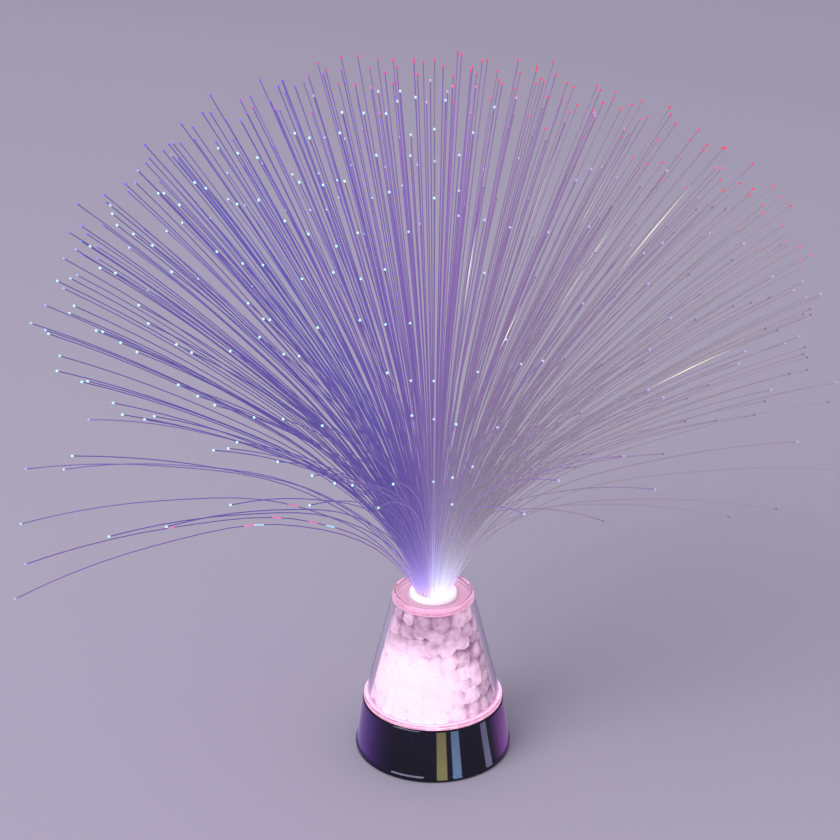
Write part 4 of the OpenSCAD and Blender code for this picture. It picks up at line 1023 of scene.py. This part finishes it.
# Where the low strands were nicked, light comes out of their side. Each strand is taken as NICK_PIECES
# short pieces, and every piece has its own chance.
strand_name = maths(carried, "MULTIPLY", strand, 977.0)
short_piece = maths(carried, "FLOOR", maths(carried, "MULTIPLY", share, NICK_PIECES))
piece_name = add(carried, "CombineXYZ", {0: strand_name, 1: short_piece}).outputs[0]
chance = add(carried, "TexWhiteNoise", {"Vector": piece_name})
nicked = maths(carried, "LESS_THAN", chance.outputs["Value"], takes.outputs["Nicks"])
nicked = maths(carried, "MULTIPLY", nicked, maths(carried, "COMPARE", share, NICK_MIDDLE, NICK_REACH))
nicked = maths(carried, "MULTIPLY", nicked, maths(carried, "LESS_THAN", tip_height, NICK_HEIGHT))
nick_red = maths(carried, "GREATER_THAN", along_axis(carried, "Y", chance.outputs["Color"]), 0.5)
nick_colour = mixed(carried, nick_red, (0.12, 0.30, 0.36, 1), (0.35, 0.02, 0.06, 1))
skin_light = mixed(carried, nicked, skin_light, nick_colour)

# Some strands on the right have a painted glint a little below their tips: a painted reflection put into
# the light they give out
chance = maths(carried, "FRACT", maths(carried, "MULTIPLY", strand, 53.0))
glinting = maths(carried, "LESS_THAN", chance, takes.outputs["Glints"])
glinting = maths(carried, "MULTIPLY", glinting, right_half)
from_glint = maths(carried, "ABSOLUTE", maths(carried, "SUBTRACT", share, GLINT_MIDDLE))
glint_fade = maths(carried, "SUBTRACT", 1.0, maths(carried, "MULTIPLY", from_glint, 9.0))
glinting = maths(carried, "MULTIPLY", glinting, maths(carried, "MAXIMUM", glint_fade, 0.0))
skin_light = mixed(carried, glinting, skin_light, (0.26, 0.27, 0.17, 1))

at_tip = maths(carried, "GREATER_THAN", share, BEAD_START)
carried.links.new(mixed(carried, at_tip, skin_light, tip_colour), gives.inputs["Light"])
# The body colour is also painted lighter near the root and takes the tip's light colour at the bead:
# painted light.
body = mixed(carried, root_fade, painted_skin_colour, (0.60, 0.55, 0.85, 1))
carried.links.new(mixed(carried, at_tip, body, tip_colour), gives.inputs["Body"])


def fibre_acrylic(name, root_glow, leak, nicks, glints):
    """Acrylic fibre with light in it."""
    material, tree, shader = plain_material(name, Roughness=0.25, Emission_Strength=3.0)
    light = placed(tree, carried, Root_Glow=root_glow, Leak=leak, Nicks=nicks, Glints=glints)
    tree.links.new(light.outputs["Body"], shader.inputs["Base Color"])
    tree.links.new(light.outputs["Light"], shader.inputs["Emission Color"])
    material.cycles.emission_sampling = "NONE"
    return material


for group, root_glow, leak, nicks, glints, slot in (
    ("inner", 0.30, 0.05, 0.0, 0.04, "fibre_red"),
    ("middle", 0.28, 0.05, 0.0, 0.05, "fibre_magenta"),
    ("outer", 0.22, 0.05, 0.05, 0.03, "fibre_violet"),
):
    strands = with_strands_between([shouldered(knots) for knots in cad_strands("fibres_" + group)])
    acrylic = fibre_acrylic("fibre_" + group, root_glow, leak, nicks, glints)
    piece = fibre_piece("strands_" + group, strands, acrylic)
    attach(piece, "spray")
    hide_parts("fibres_" + group)

# The glue that holds the strands in the plug: clear epoxy, level with their polished feet below, and
# with a low crown between them on top.
GLUE_CROWN = 0.5 * mm
GLUE_SINK = 0.2 * mm
GLUE_HOLE = 0.02 * mm
GLUE_SIDES = 64

glue, tree, shader = plain_material("bundle_glue", Roughness=0.2, Emission_Strength=0.5)
speckle = noise(tree, place_of(tree), 1400.0, 2)
glue_colour = mixed(tree, speckle, (0.50, 0.36, 0.48, 1), (0.66, 0.50, 0.62, 1))
tree.links.new(glue_colour, shader.inputs["Base Color"])
lit_side = spread(tree, along_axis(tree, "X"), -0.5 * BUNDLE_REACH, 0.6 * BUNDLE_REACH)
glue_light = mixed(tree, lit_side, (0.20, 0.08, 0.16, 1), (1.0, 0.95, 1.0, 1))
tree.links.new(glue_light, shader.inputs["Emission Color"])
bumped(tree, shader, speckle, 0.0001, 0.4)

crown = [(BUNDLE_REACH * math.cos(a), GLUE_CROWN * math.sin(a)) for a in (0, 0.3, 0.65, 1.0, 1.3)]
outline = [(GLUE_HOLE, STRAND_FOOT - GLUE_SINK), (BUNDLE_REACH, STRAND_FOOT - GLUE_SINK)]
outline += [(reach, BUNDLE_TOP - GLUE_CROWN + rise) for reach, rise in crown]
outline.append((GLUE_HOLE, BUNDLE_TOP))
turns = [2 * math.pi * side / GLUE_SIDES for side in range(GLUE_SIDES)]
points = [
    (reach * math.cos(turn), reach * math.sin(turn), rise)
    for reach, rise in outline for turn in turns
]
faces = [
    (row * GLUE_SIDES + side, row * GLUE_SIDES + (side + 1) % GLUE_SIDES,
     (row + 1) * GLUE_SIDES + (side + 1) % GLUE_SIDES, (row + 1) * GLUE_SIDES + side)
    for row in range(len(outline) - 1) for side in range(GLUE_SIDES)
]
faces += [tuple(range(GLUE_SIDES))[::-1], tuple(range(len(points) - GLUE_SIDES, len(points)))]
glued = mesh_piece("bundle_glue", points, faces, glue)
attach(glued, "spray")
